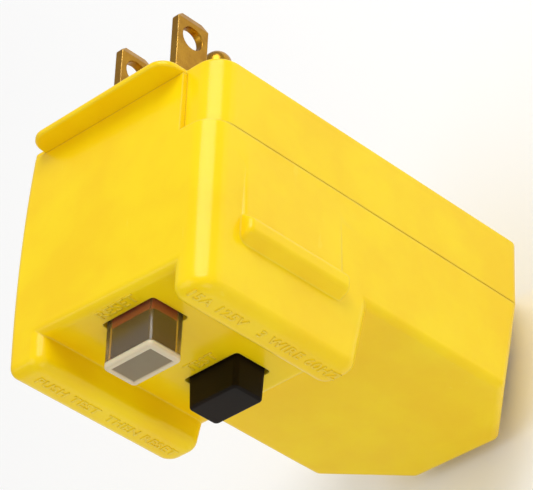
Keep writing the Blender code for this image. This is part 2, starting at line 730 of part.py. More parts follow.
def build_test():
    """Black key with its stem and spring, the leaf it bends and the post the leaf meets."""
    key = button_body("test_button", TEST_CENTRE, TEST_BASE, TEST_TIP, TEST_TIP_Y, (12.4, 7.8), black())
    x, z = TEST_CENTRE
    stem = [(BUTTON_BACK_Y - 0.5, STEM_RADIUS), (-22.9, STEM_RADIUS)]
    join(key, turned("stem", "Y", (x, z), stem, black(), 16))
    smooth(key)
    helix("test_spring", "Y", (x, z), (-32.5, -26.1), 2.5, 0.25, 4.5, steel())
    blade_path = [(-22.5, x - 2.4), (-22.5, 9.4), (-14.5, 9.4), (-14.5, 8.9), (-22.0, 8.9), (-22.0, x - 2.4)]
    outline = [(px, py) for py, px in blade_path]
    plate("test_leaf", "Z", outline, (z - 1.2, z + 1.2), copper())
    turned("test_post", "Y", (x, z), [(-19.2, 0.6), (-18.9, 1.0), (-14.5, 1.0)], brass(), 12)


def build_frame():
    """Moulded bridge over the contacts, with holes for both stems."""
    outline = [(17.3, 2.8), (15.9, 4.2), (-17.3, 4.2), (-17.3, -16.6), (-10.0, -16.6), (-10.0, -21.8),
               (10.0, -21.8), (10.0, -16.6), (17.3, -16.6)]
    frame = plate("mechanism_frame", "Y", outline, FRAME_Y, black())
    for sign in (-1, 1):
        limits = sorted((sign * 16.2, sign * 17.3))
        join(frame, block("rail", limits, (FRAME_Y[0] + 0.5, -14.5), (-16.0, 2.6), black()))
    for centre in (RESET_CENTRE, TEST_CENTRE):
        subtract(frame,
                 turned("stem_hole", "Y", centre, [(-27, STEM_HOLE_RADIUS), (-23, STEM_HOLE_RADIUS)],
                        black(), 16))


def build_contacts():
    """Sliding carriage with two bridging contacts, its spring and four fixed contacts."""
    x, z = RESET_CENTRE
    carriage = block("contact_carriage", (-12.5, 12.5), CARRIAGE_Y, (-3.2, 4.0), black())
    subtract(carriage,
             turned("stem_hole", "Y", (x, z), [(-22, STEM_HOLE_RADIUS), (-16, STEM_HOLE_RADIUS)], black(),
                    16))
    helix("carriage_spring", "Y", (x, z), (-24.1, -21.1), 2.6, 0.2, 2.5, steel())
    inner, outer = 5.2, 12.2
    for side, pole in ((1, "line"), (-1, "neutral")):
        limits = sorted((side * inner, side * outer))
        bridge = block(f"bridge_contact_{pole}", limits, (-21.7, -21.1), (-1.2, 1.6), copper())
        for pad_x in (inner + 1.1, outer - 1.1):
            pad = turned("pad", "Y", (side * pad_x, 0.2), [(-22.1, 0.8), (-21.5, 1.0)], copper(), 12)
            join(bridge, pad)
        hook = [(side * 9.8, CONTACT_Y[0]), (side * 14.9, CONTACT_Y[0]), (side * 14.9, -10.0),
                (side * 7.5, -10.0), (side * 7.5, -10.7), (side * 14.2, -10.7), (side * 14.2, CONTACT_Y[1]),
                (side * 9.8, CONTACT_Y[1])]
        plate(f"fixed_contact_{pole}_in", "Z", hook, (-1.5, 1.5), copper())
        strip = block(f"fixed_contact_{pole}_out", sorted((side * 5.2, side * 7.2)), CONTACT_Y, (-27.2, 2.0),
                      copper())
        join(strip,
             block("toe", sorted((side * 5.2, side * 7.2)), (CONTACT_Y[0] + 0.3, -20.5), (-27.2, -26.5),
                          copper()))


def build_latch():
    """Latch plate on the stem collar and the solenoid that pulls it."""
    x, z = RESET_CENTRE
    outline = [(6.9, 4.0), (-3.4, 4.0), (-3.4, -4.0), (1.0, -4.0), (1.0, -11.2), (3.6, -11.2), (3.6, -4.0),
               (6.9, -4.0)]
    latch = plate("latch_plate", "Y", outline, LATCH_Y, steel())
    subtract(latch, block("narrow", (x - 1.7, x + 2.4), (-18, -15), (z - 1.7, z + 1.7), steel()))
    subtract(latch, turned("wide", "Y", (x + 2.4, z), [(-18, 2.75), (-15, 2.75)], steel(), 20))
    join(latch, block("tab", (1.0, 1.8), (COIL_Y - 2.0, LATCH_Y[1]), (COIL_Z - 2.0, COIL_Z + 2.0), steel()))
    subtract(latch, turned("neck_hole", "X", (COIL_Y, COIL_Z), [(0, 1.35), (3, 1.35)], steel(), 16))
    turned("solenoid_plunger", "X", (COIL_Y, COIL_Z), [(-13.0, 1.6), (0.6, 1.6), (0.6, 1.0), (2.2, 1.0),
                                                       (2.2, 1.6), (2.9, 1.6)], steel(), 16)
    bobbin = turned("solenoid_bobbin", "X", (COIL_Y, COIL_Z), [(-15.0, 4.0), (-14.2, 4.0), (-14.2, 2.6),
                                                              (-6.4, 2.6), (-6.4, 4.0), (-5.6, 4.0)],
                    finish("nylon", (0.8, 0.78, 0.7), 0.5))
    subtract(bobbin,
             turned("bore", "X", (COIL_Y, COIL_Z), [(-18, STEM_HOLE_RADIUS), (-4, STEM_HOLE_RADIUS)],
                    black(), 20))
    ring("solenoid_coil", "X", (COIL_Y, COIL_Z), (-13.9, -6.7), 3.8, 2.9, copper())
    yoke = block("solenoid_yoke", (-15.9, -4.6), (COIL_Y - 4.2, COIL_Y + 4.2), (COIL_Z - 5.1, COIL_Z + 4.1),
                 steel())
    subtract(yoke, block("throat", (-15.2, -5.3), (COIL_Y - 6, COIL_Y + 6), (COIL_Z - 4.4, COIL_Z + 6),
                         steel()))
    subtract(yoke, turned("nose_hole", "X", (COIL_Y, COIL_Z), [(-6, 2.0), (-4, 2.0)], steel(), 16))
    helix("plunger_spring", "X", (COIL_Y, COIL_Z), (-4.3, 0.7), 2.1, 0.2, 3.5, steel())


def build_board():
    """Circuit board with its larger components and the two current transformers."""
    waist, side = 10.0, 12.0
    outline = [(side, 2.6), (-side, 2.6), (-side, -16.8), (-waist, -16.8), (-waist, -23.6), (-side, -23.6),
               (-side, -46.8), (side, -46.8), (side, -23.6), (waist, -23.6), (waist, -16.8), (side, -16.8)]
    board = plate("circuit_board", "Y", outline, BOARD_Y, green())
    subtract(board, turned("stem_hole", "Y", RESET_CENTRE, [(-16, 2.8), (-11, 2.8)], green(), 16))
    front = BOARD_Y[0] - GAP
    for name, limits in (("sense_toroid", (-36.6, -32.2)), ("neutral_toroid", (-42.0, -37.6))):
        ring(name, "Z", TOROID_CENTRE, limits, *TOROID_RADII, ferrite(), 24)
    for side, pole in ((1, "line"), (-1, "neutral")):
        route = [(side * 6.2, -22.0, -28.2), (side * 4.6, -21.2, -29.2), (side * 1.4, -20.2, -30.8),
                 (side * 1.4, -20.2, -42.8), (side * 2.8, -19.8, -44.2), (side * 5.2, -19.0, -46.1)]
        swept(f"{pole}_conductor", route, 0.95, copper())
    block("control_chip", (6.2, 11.4), (front - 2.6, front), (-43.5, -34.5), black())
    turned("capacitor", "Y", (10.0, -30.4), [(front - 9.0, 2.7), (front - 8.6, 3.0), (front, 3.0)],
           finish("capacitor_sleeve", (0.05, 0.09, 0.3), 0.35))
    turned("varistor", "X", (front - 4.6, -31.0), [(-11.2, 4.0), (-10.8, 4.4), (-8.0, 4.4), (-7.6, 4.0)],
           finish("varistor_coat", (0.12, 0.3, 0.5), 0.4))
    block("rectifier", (-11.2, -6.4), (front - 3.0, front), (-44.0, -38.5), black())


def build_terminals():
    """Terminal block with three screws, the ground strap, the cord clamp and the cord grommet."""
    body = block("terminal_block", (-11.4, 11.4), (-22.0, -8.2), (-55.2, -47.4), black())
    places = (("line", TERMINAL_X), ("neutral", -TERMINAL_X), ("ground", 0.0))
    for pole, x in places:
        subtract(body,
                 turned("hole", "Y", (x, TERMINAL_Z),
                        [(-18, TERMINAL_HOLE_RADIUS), (-7, TERMINAL_HOLE_RADIUS)], black(), 14))
        profile = [(-17.0, 1.3), (-7.1, 1.3), (-7.1, 2.9), (-5.7, 2.9), (-5.3, 2.4)]
        screw = turned(f"terminal_screw_{pole}", "Y", (x, TERMINAL_Z), profile, brass(), 14)
        subtract(screw,
                 block("drive", (x - 3.0, x + 3.0), (-5.9, -4.0), (TERMINAL_Z - 0.3, TERMINAL_Z + 0.3),
                               brass()))
    strap_profile = [(-9.6, -9.4), (-9.6, -20.0), (-8.0, -21.6), (-8.0, -54.6), (-7.4, -54.6), (-7.4, -21.4),
                     (-9.0, -19.8), (-9.0, -9.4)]
    strap = plate("ground_strap", "X", strap_profile, (-2.4, 2.4), copper())
    for z, radius in ((-PIN_DROP, PIN_HOLE_RADIUS), (TERMINAL_Z, TERMINAL_HOLE_RADIUS)):
        subtract(strap, turned("hole", "Y", (0, z), [(-11, radius), (-6, radius)], copper(), 16))
    clamp = block("cord_clamp", (-7.6, 7.6), (-13.2, -9.0), (CLAMP_Z - 2.25, CLAMP_Z + 2.25),
                  black())
    subtract(clamp, turned("arch", "Z", (0, CORD_Y), [(-67, CORD_BORE), (-58, CORD_BORE)], black()))
    for number, x in enumerate((CLAMP_X, -CLAMP_X), 1):
        subtract(clamp, turned("hole", "Y", (x, CLAMP_Z), [(-15, 1.6), (-8, 1.6)], black(), 14))
        profile = [(-22.5, 0.4), (-21.8, 1.05), (-8.7, 1.05), (-8.7, 1.8), (-7.6, 1.8), (-7.2, 1.4)]
        screw = turned(f"clamp_screw_{number}", "Y", (x, CLAMP_Z), profile, steel(), 14)
        subtract(screw, block("drive", (x - 1.9, x + 1.9), (-7.8, -6.0), (-63.0, -62.5), steel()))
    sleeve = turned("cord_grommet", "Z", (0, CORD_Y),
                    [(-71.4, 6.9), (-70.8, 7.3), (-70.75, 5.3), (-66.6, 5.3),
                                                       (-66.5, 6.6), (-65.4, 6.6)], rubber(), 24)
    subtract(sleeve, turned("bore", "Z", (0, CORD_Y), [(-73, CORD_BORE), (-65, CORD_BORE)], rubber(), 24))


def carry(joint, place, names):
    """Hang a moving body's pieces on an empty that lies on its joint's axis."""
    axis_point = bpy.data.objects.new(joint, None)
    axis_point.location = Vector(place) * MM
    axis_point.empty_display_size = 0.005
    bpy.context.scene.collection.objects.link(axis_point)
    for name in names:
        piece = bpy.data.objects[name]
        piece.parent = axis_point
        piece.location = -axis_point.location


def build_joints():
    """One empty for each slide: the two keys, the latch and the contact carriage."""
    carry("reset_press", (RESET_CENTRE[0], BUTTON_BACK_Y, RESET_CENTRE[1]),
          ("reset_button", "reset_plunger"))
    carry("test_press", (TEST_CENTRE[0], BUTTON_BACK_Y, TEST_CENTRE[1]), ("test_button",))
    carry("trip_slide", (0.0, COIL_Y, COIL_Z), ("latch_plate", "solenoid_plunger"))
    moving_contacts = ("contact_carriage", "bridge_contact_line", "bridge_contact_neutral")
    carry("contact_close", (RESET_CENTRE[0], CARRIAGE_Y[0], RESET_CENTRE[1]), moving_contacts)


def main():
    clear_scene()
    build_housing()
    build_cover()
    build_gasket()
    build_screws()
    build_prongs()
    build_reset()
    build_test()
    build_frame()
    build_contacts()
    build_latch()
    build_board()
    build_terminals()
    build_joints()


main()
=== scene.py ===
"""Looks of a right-angle ground-fault plug head: shells, keys, prongs, hardware and raised lettering."""

from __future__ import annotations

import json
import logging
import math
from abc import ABC, abstractmethod
from collections.abc import Callable, Mapping, Sequence
from dataclasses import dataclass
from enum import Enum

import bmesh
import bpy
from mathutils import Matrix, Vector

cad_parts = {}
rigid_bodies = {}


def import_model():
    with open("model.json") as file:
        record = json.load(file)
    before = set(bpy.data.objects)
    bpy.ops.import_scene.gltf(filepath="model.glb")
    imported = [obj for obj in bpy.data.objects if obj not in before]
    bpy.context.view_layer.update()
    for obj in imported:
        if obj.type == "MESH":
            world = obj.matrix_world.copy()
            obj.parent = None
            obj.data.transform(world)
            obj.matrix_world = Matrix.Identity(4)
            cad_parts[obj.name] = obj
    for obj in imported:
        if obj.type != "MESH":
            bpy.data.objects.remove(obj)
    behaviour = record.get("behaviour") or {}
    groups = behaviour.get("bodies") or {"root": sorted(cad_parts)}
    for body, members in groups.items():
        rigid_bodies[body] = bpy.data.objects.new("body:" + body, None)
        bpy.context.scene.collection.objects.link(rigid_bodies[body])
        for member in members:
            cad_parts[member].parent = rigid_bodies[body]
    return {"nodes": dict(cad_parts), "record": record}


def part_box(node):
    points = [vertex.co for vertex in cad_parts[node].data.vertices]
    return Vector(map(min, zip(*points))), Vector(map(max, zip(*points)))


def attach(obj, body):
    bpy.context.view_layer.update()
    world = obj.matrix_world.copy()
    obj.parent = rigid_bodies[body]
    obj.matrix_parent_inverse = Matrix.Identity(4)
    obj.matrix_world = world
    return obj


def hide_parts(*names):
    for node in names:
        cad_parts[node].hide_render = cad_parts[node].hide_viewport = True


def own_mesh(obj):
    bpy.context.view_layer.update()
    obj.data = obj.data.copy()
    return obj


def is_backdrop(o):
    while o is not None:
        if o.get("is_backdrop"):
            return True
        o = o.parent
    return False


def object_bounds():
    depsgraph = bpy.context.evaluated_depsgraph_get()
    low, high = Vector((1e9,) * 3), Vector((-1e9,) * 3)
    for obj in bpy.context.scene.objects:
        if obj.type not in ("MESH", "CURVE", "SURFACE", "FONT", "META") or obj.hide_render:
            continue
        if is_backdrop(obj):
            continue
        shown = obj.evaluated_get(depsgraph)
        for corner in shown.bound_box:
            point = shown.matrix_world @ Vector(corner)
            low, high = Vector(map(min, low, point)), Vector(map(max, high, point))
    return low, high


LOG = logging.getLogger("plug_head")
MM = 0.001
GAP = 0.3  # clearance between neighbouring pieces
SEAM = 0.2  # what shows of the joint between the shells
BLADE_WIDTH = 6.35
KEY_BASES = {"reset_button": (10.3, 6.5), "test_button": (10.7, 6.4)}  # size where a key meets the floor
COAT_ROUGHNESS = 0.16
SCATTER_RADIUS = (1.0, 0.6, 0.15)
SCATTER_SCALE = 0.0006
CAPITAL_HEIGHT = 0.69  # height of a capital letter as a share of the type size
Colour = tuple[float, float, float]


# --- Material trees ---------------------------------------------------------------------------------------


class Signal:
    """An output socket of a material tree that takes part in arithmetic."""

    def __init__(self, sheet: NodeSheet, socket: bpy.types.NodeSocket) -> None:
        """Keep the tree and the socket together."""
        self.sheet = sheet
        self.socket = socket

    def _maths(self, operation: str, first: Signal | float, second: Signal | float) -> Signal:
        """Add one Math node for two values and return its result."""
        return self.sheet.add("ShaderNodeMath", {"operation": operation}, {0: first, 1: second})

    def __add__(self, other: Signal | float) -> Signal:
        """This plus another value."""
        return self._maths("ADD", self, other)

    def __radd__(self, other: float) -> Signal:
        """Another value plus this."""
        return self._maths("ADD", other, self)

    def __sub__(self, other: Signal | float) -> Signal:
        """This minus another value."""
        return self._maths("SUBTRACT", self, other)

    def __rsub__(self, other: float) -> Signal:
        """Another value minus this."""
        return self._maths("SUBTRACT", other, self)

    def __mul__(self, other: Signal | float) -> Signal:
        """This times another value."""
        return self._maths("MULTIPLY", self, other)

    def __rmul__(self, other: float) -> Signal:
        """Another value times this."""
        return self._maths("MULTIPLY", other, self)

    def __pow__(self, power: float) -> Signal:
        """This raised to a power."""
        return self._maths("POWER", self, power)

    def between(self, low: float, high: float) -> Signal:
        """Smooth step: 0 below low, 1 above high, whichever of the two is larger."""
        settings = {"interpolation_type": "SMOOTHSTEP"}
        return self.sheet.add("ShaderNodeMapRange", settings,
                              {"Value": self, "From Min": low, "From Max": high})


class NodeSheet:
    """The node tree of one material, built by adding nodes in the order they are needed."""

    def __init__(self, name: str) -> None:
        """Make an empty material of this name with its output node."""
        self.material = bpy.data.materials.new(name)
        self.material.use_nodes = True
        self.tree = self.material.node_tree
        self.tree.nodes.clear()

    def add(
        self,
        kind: str,
        settings: Mapping[str, object] | None = None,
        sockets: Mapping[str | int, object] | None = None,
        output: str | int = 0,
    ) -> Signal:
        """Add a node, set it up and feed it.

        Args:
            kind: The node's type name.
            settings: Attributes set first; "stops" holds a ramp's positions and colours.
            sockets: Input socket names or numbers with a value or a signal for each.
            output: The output socket to return.

        Returns:
            The chosen output as a signal.
        """
        node = self.tree.nodes.new(kind)
        for key, value in (settings or {}).items():
            if key == "stops":
                self._set_stops(node.color_ramp, value)
            else:
                setattr(node, key, value)
        for key, value in (sockets or {}).items():
            if isinstance(value, Signal):
                self.tree.links.new(value.socket, node.inputs[key])
            else:
                node.inputs[key].default_value = value
        return Signal(self, node.outputs[output]) if len(node.outputs) else Signal(self, node.inputs[0])

    @staticmethod
    def _set_stops(ramp: bpy.types.ColorRamp, stops: Sequence[tuple[float, Colour]]) -> None:
        """Give a colour ramp its positions and colours."""
        while len(ramp.elements) < len(stops):
            ramp.elements.new(0.5)
        for element, (position, colour) in zip(ramp.elements, stops):
            element.position = position
            element.color = (*colour, 1.0)

    def object_place(self, scale: Sequence[float] = (1.0, 1.0, 1.0)) -> Signal:
        """Position on the object, stretched by a scale along each axis."""
        place = self.add("ShaderNodeTexCoord", output="Object")
        return self.add("ShaderNodeMapping", sockets={"Vector": place, "Scale": tuple(scale)})

    def noise(self, place: Signal, scale: float, detail: float = 3.0, rough: float = 0.5) -> Signal:
        """Fractal noise from 0 to 1."""
        sockets = {"Vector": place, "Scale": scale, "Detail": detail, "Roughness": rough}
        return self.add("ShaderNodeTexNoise", sockets=sockets, output="Fac")

    def blend(self, share: Signal, first: Signal | Colour, second: Signal | Colour) -> Signal:
        """Mix two colours by a share from 0 to 1."""
        ends = [value if isinstance(value, Signal) else (*value, 1.0) for value in (first, second)]
        sockets = {"Factor": share, 6: ends[0], 7: ends[1]}
        return self.add("ShaderNodeMix", {"data_type": "RGBA"}, sockets, 2)

    def size(self, value: Signal) -> Signal:
        """A value without its sign."""
        return self.add("ShaderNodeMath", {"operation": "ABSOLUTE"}, {0: value})

    def larger(self, first: Signal, second: Signal) -> Signal:
        """The larger of two values."""
        return self.add("ShaderNodeMath", {"operation": "MAXIMUM"}, {0: first, 1: second})

    def soft_edges(self, radius: float) -> Signal:
        """Normal that rounds every sharp edge to this radius in millimetres."""
        return self.add("ShaderNodeBevel", {"samples": 6}, {"Radius": radius * MM})

    def edge_mask(self, rounded: Signal) -> Signal:
        """0 on open surface, rising to 1 on a rounded edge."""
        flat = self.add("ShaderNodeNewGeometry", output="Normal")
        aligned = self.add("ShaderNodeVectorMath", {"operation": "DOT_PRODUCT"}, {0: rounded, 1: flat},
                           "Value")
        return (1.0 - aligned).between(0.004, 0.12)

    def relief(self, height: Signal, depth: float, under: Signal | None = None) -> Signal:
        """Bump normal from a height signal; depth is in millimetres."""
        sockets: dict[str | int, object] = {"Strength": 1.0, "Distance": depth * MM, "Height": height}
        if under is not None:
            sockets["Normal"] = under
        return self.add("ShaderNodeBump", sockets=sockets)

    def surface(self, sockets: Mapping[str | int, object]) -> bpy.types.Material:
        """Close the tree with one Principled shader and return the material."""
        shader = self.add("ShaderNodeBsdfPrincipled", sockets=sockets)
        self.add("ShaderNodeOutputMaterial", sockets={"Surface": shader})
        return self.material


class Finish(ABC):
    """A surface finish that can make its material once and hand it out again."""

    name: str

    def material(self) -> bpy.types.Material:
        """The finish's material, made on first use."""
        return bpy.data.materials.get(self.name) or self.build()

    @abstractmethod
    def build(self) -> bpy.types.Material:
        """Make the material."""


@dataclass(frozen=True)
class MouldedPlastic(Finish):
    """Injection-moulded plastic with a fine grain, soft edges, light handling marks and a painted highlight
    on its edges.
    """

    name: str
    colour: Colour
    deep: Colour
    # colour of scratches, and also of the painted highlight on edges
    wear_and_highlight: Colour
    roughness: float = 0.34
    edge_radius: float = 0.3
    grain_depth: float = 0.006
    scuffs: float = 0.5
    scatter: float = 0.0
    shine: float = 0.5
    gloss: float = 0.0

    def build(self) -> bpy.types.Material:
        """Make the material."""
        sheet = NodeSheet(self.name)
        place = sheet.object_place()
        clouds = sheet.noise(place, 70.0, 4.0, 0.55)
        grain = sheet.noise(place, 3800.0, 2.0)
        streaks = sheet.noise(sheet.object_place((1.0, 0.12, 0.35)), 900.0, 3.0, 0.6)
        scratches = streaks.between(0.66, 0.72) * sheet.noise(place, 160.0, 1.0).between(0.5, 0.62)
        rounded = sheet.soft_edges(self.edge_radius)
        # painted highlight: edges turn paler where light would catch them, unevenly through the clouds
        edge_highlight = sheet.edge_mask(rounded) * (0.35 + clouds * 0.9)
        colour = sheet.blend(clouds.between(0.3, 0.7), self.deep, self.colour)
        colour = sheet.blend(edge_highlight * 0.55, colour, self.wear_and_highlight)
        colour = sheet.blend(scratches * (0.3 * self.scuffs), colour, self.wear_and_highlight)
        roughness = self.roughness + (clouds - 0.5) * 0.12 + scratches * (0.22 * self.scuffs) + edge_highlight * -0.06
        height = grain + clouds * 3.0 - scratches * (2.0 * self.scuffs)
        normal = sheet.relief(height, self.grain_depth, rounded)
        return sheet.surface(
            {
                "Base Color": colour,
                "Roughness": roughness,
                "Normal": normal,
                "IOR": 1.5,
                "Specular IOR Level": self.shine,
                "Coat Weight": self.gloss,
                "Coat Roughness": COAT_ROUGHNESS,
                "Subsurface Weight": self.scatter,
                "Subsurface Radius": SCATTER_RADIUS,
                "Subsurface Scale": SCATTER_SCALE,
            }
        )


@dataclass(frozen=True)
class ClearPlastic(Finish):
    """Water-clear plastic, a little frosted by moulding and by fingers, with a pale highlight painted on its
    edges.
    """

    name: str
    tint: Colour
    # colour of finger smears, and of the painted highlight on edges
    smear_and_edge_highlight: Colour
    transmission: float
    roughness: float

    def build(self) -> bpy.types.Material:
        """Make the material."""
        sheet = NodeSheet(self.name)
        place = sheet.object_place()
        smears = sheet.noise(place, 260.0, 4.0, 0.6)
        frost = sheet.noise(place, 5200.0, 2.0)
        rounded = sheet.soft_edges(0.25)
        edge_highlight = sheet.edge_mask(rounded)
        # edges painted pale as a highlight; smears add a little of the same colour
        colour = sheet.blend(edge_highlight * 0.8 + smears * 0.15, self.tint, self.smear_and_edge_highlight)
        roughness = self.roughness + smears * 0.14 + edge_highlight * 0.25
        return sheet.surface(
            {
                "Base Color": colour,
                "Roughness": roughness,
                "Normal": sheet.relief(frost, 0.01, rounded),
                "IOR": 1.49,
                "Specular IOR Level": 0.2,
                "Transmission Weight": self.transmission,
            }
        )


@dataclass(frozen=True)
class FrostedEnd(Finish):
    """Frosted end of a clear key: a pale rim around a dark window painted as the shade inside the key."""

    name: str
    centre: tuple[float, float]  # X and Z of the key, in millimetres
    half: tuple[float, float]  # half sizes of the window, in millimetres
    rim: Colour = (0.9, 0.77, 0.52)
    # painted shade: the dark of the hollow key's inside, painted on the window
    shaded_window: Colour = (0.27, 0.2, 0.1)

    def build(self) -> bpy.types.Material:
        """Make the material."""
        sheet = NodeSheet(self.name)
        place = sheet.object_place()
        smears = sheet.noise(place, 420.0, 4.0, 0.6)
        frost = sheet.noise(place, 5200.0, 2.0)
        split = {"Vector": place}
        across = sheet.add("ShaderNodeSeparateXYZ", sockets=split, output="X") - self.centre[0] * MM
        upward = sheet.add("ShaderNodeSeparateXYZ", sockets=split, output="Z") - self.centre[1] * MM
        outside_x = sheet.size(across).between((self.half[0] - 0.25) * MM, self.half[0] * MM)
        outside_z = sheet.size(upward).between((self.half[1] - 0.25) * MM, self.half[1] * MM)
        rim = sheet.larger(outside_x, outside_z)
        # painted shade in the window, mottled by smears
        shaded_window = sheet.blend(smears, self.shaded_window, (0.33, 0.26, 0.14))
        return sheet.surface(
            {
                "Base Color": sheet.blend(rim, shaded_window, self.rim),
                "Roughness": 0.3 + smears * 0.2,
                "Normal": sheet.relief(frost, 0.01, sheet.soft_edges(0.2)),
                "IOR": 1.49,
                "Transmission Weight": 0.3,
                "Subsurface Weight": 0.15,
                "Subsurface Scale": 0.001,
            }
        )


@dataclass(frozen=True)
class RolledMetal(Finish):
    """Sheet or turned metal with draw lines, tarnish and a highlight painted on its edges."""

    name: str
    colour: Colour
    tarnish: Colour
    # colour of the painted highlight on edges
    bright: Colour
    roughness: float = 0.28
    grain: tuple[float, float, float] = (1.0, 0.06, 1.0)

    def build(self) -> bpy.types.Material:
        """Make the material."""
        sheet = NodeSheet(self.name)
        place = sheet.object_place()
        lines = sheet.noise(sheet.object_place(self.grain), 5200.0, 3.0, 0.6)
        stains = sheet.noise(place, 240.0, 5.0, 0.65)
        spots = sheet.noise(place, 1500.0, 2.0).between(0.62, 0.72)
        rounded = sheet.soft_edges(0.18)
        edge_highlight = sheet.edge_mask(rounded)
        colour = sheet.blend(stains.between(0.38, 0.7), self.colour, self.tarnish)
        colour = sheet.blend(spots * 0.35, colour, self.tarnish)
        # painted highlight on the edges
        colour = sheet.blend(edge_highlight * 0.8, colour, self.bright)
        roughness = self.roughness + (lines - 0.5) * 0.2 + stains.between(0.4, 0.75) * 0.16 + edge_highlight * -0.08
        return sheet.surface(
            {
                "Base Color": colour,
                "Metallic": 1.0,
                "Roughness": roughness,
                "Normal": sheet.relief(lines + spots * 0.8, 0.008, rounded),
            }
        )


@dataclass(frozen=True)
class EnamelledWire(Finish):
    """Close turns of enamelled wire around a bobbin that lies along X, with painted shade in the grooves
    between turns.
    """

    name: str
    colour: Colour
    # painted shade between the turns
    groove_shade: Colour
    turns_per_metre: float = 3200.0

    def build(self) -> bpy.types.Material:
        """Make the material."""
        sheet = NodeSheet(self.name)
        place = sheet.object_place()
        wave = {"Vector": place, "Scale": self.turns_per_metre / 3.18, "Distortion": 0.4, "Detail": 1.0}
        turns = sheet.add("ShaderNodeTexWave", {"bands_direction": "X"}, wave, "Fac")
        lacquer = sheet.noise(place, 600.0, 3.0)
        return sheet.surface(
            {
                # grooves between turns painted darker as shade
                "Base Color": sheet.blend(turns, self.groove_shade, self.colour),
                "Metallic": 0.85,
                "Roughness": 0.22 + lacquer * 0.14,
                "Normal": sheet.relief(turns, 0.08),
                "Coat Weight": 0.6,
            }
        )


@dataclass(frozen=True)
class BoardLaminate(Finish):
    """Circuit laminate: solder mask over a woven core with raised tracks."""

    name: str
    mask: Colour
    track: Colour

    def build(self) -> bpy.types.Material:
        """Make the material."""
        sheet = NodeSheet(self.name)
        place = sheet.object_place()
        flat = sheet.add("ShaderNodeMapping", sockets={"Vector": place, "Rotation": (math.pi / 2, 0.0, 0.0)})
        bricks = {"Vector": flat, "Scale": 240.0, "Mortar Size": 0.045, "Brick Width": 0.9,
                  "Row Height": 0.45}
        tracks = sheet.add("ShaderNodeTexBrick", {"offset": 0.35}, bricks, "Fac")
        weave = sheet.noise(sheet.object_place((1.0, 1.0, 0.2)), 2600.0, 2.0)
        clouds = sheet.noise(place, 120.0)
        return sheet.surface(
            {
                "Base Color": sheet.blend(tracks * 0.8 + clouds * 0.1, self.mask, self.track),
                "Roughness": 0.3 + weave * 0.25,
                "Normal": sheet.relief(tracks * 0.6 + weave * 0.3, 0.03),
            }
        )


@dataclass(frozen=True)
class SoftRubber(Finish):
    """Matte black elastomer with a fine pebble and a dusty bloom."""

    name: str
    colour: Colour
    bloom: Colour

    def build(self) -> bpy.types.Material:
        """Make the material."""
        sheet = NodeSheet(self.name)
        place = sheet.object_place()
        pebble = sheet.add("ShaderNodeTexVoronoi", sockets={"Vector": place, "Scale": 2600.0},
                           output="Distance")
        dust = sheet.noise(place, 420.0, 5.0, 0.7)
        rounded = sheet.soft_edges(0.3)
        return sheet.surface(
            {
                "Base Color": sheet.blend(dust.between(0.45, 0.8) * 0.6, self.colour, self.bloom),
                "Roughness": 0.62 + dust * 0.25,
                "Normal": sheet.relief(pebble + dust * 0.6, 0.03, rounded),
            }
        )


# The third colour of each moulded plastic below is its scratch colour and also a painted highlight on its
# edges.
YELLOW = MouldedPlastic(
    "housing_yellow", colour=(0.95, 0.68, 0.002), deep=(0.92, 0.6, 0.001), wear_and_highlight=(1.0, 0.82, 0.12),
    roughness=0.36, edge_radius=0.45, shine=0.1, gloss=0.36,
)
KEY_BLACK = MouldedPlastic(
    "key_black", colour=(0.011, 0.006, 0.003), deep=(0.006, 0.004, 0.002), wear_and_highlight=(0.08, 0.05, 0.03),
    roughness=0.44, shine=0.1,
)
INNER_BLACK = MouldedPlastic(
    "moulding_black", colour=(0.02, 0.02, 0.02), deep=(0.012, 0.012, 0.012), wear_and_highlight=(0.07, 0.07, 0.07),
    roughness=0.45,
)
SIGNAL_ORANGE = MouldedPlastic(
    "insert_orange", colour=(1.0, 0.13, 0.006), deep=(0.9, 0.08, 0.005), wear_and_highlight=(1.0, 0.24, 0.05),
    roughness=0.4,
)
NATURAL_NYLON = MouldedPlastic(
    "bobbin_nylon", colour=(0.8, 0.76, 0.66), deep=(0.7, 0.66, 0.56), wear_and_highlight=(0.88, 0.86, 0.8),
    roughness=0.42,
)
COATED_FERRITE = MouldedPlastic(
    "core_ferrite", colour=(0.06, 0.06, 0.066), deep=(0.035, 0.035, 0.04), wear_and_highlight=(0.2, 0.2, 0.2),
    roughness=0.55,
)
SLEEVE_BLUE = MouldedPlastic(
    "capacitor_sleeve_blue", colour=(0.03, 0.07, 0.28), deep=(0.02, 0.04, 0.2), wear_and_highlight=(0.3, 0.35, 0.5),
    roughness=0.25,
)
DIPPED_BLUE = MouldedPlastic(
    "varistor_coat_blue", colour=(0.08, 0.24, 0.46), deep=(0.05, 0.17, 0.36), wear_and_highlight=(0.4, 0.5, 0.6),
    roughness=0.22,
)
# its second colour is also painted on the edges as a highlight
CAP_CLEAR = ClearPlastic(
    "key_clear", tint=(0.82, 0.68, 0.42), smear_and_edge_highlight=(0.95, 0.82, 0.56), transmission=0.95, roughness=0.08,
)
# painted shade: dark core standing for the shade inside the hollow reset key
CORE_SHADE = MouldedPlastic(
    "core_painted_shade", colour=(0.1, 0.062, 0.024), deep=(0.045, 0.025, 0.01), wear_and_highlight=(0.28, 0.2, 0.1),
    roughness=0.5, shine=0.2,
)
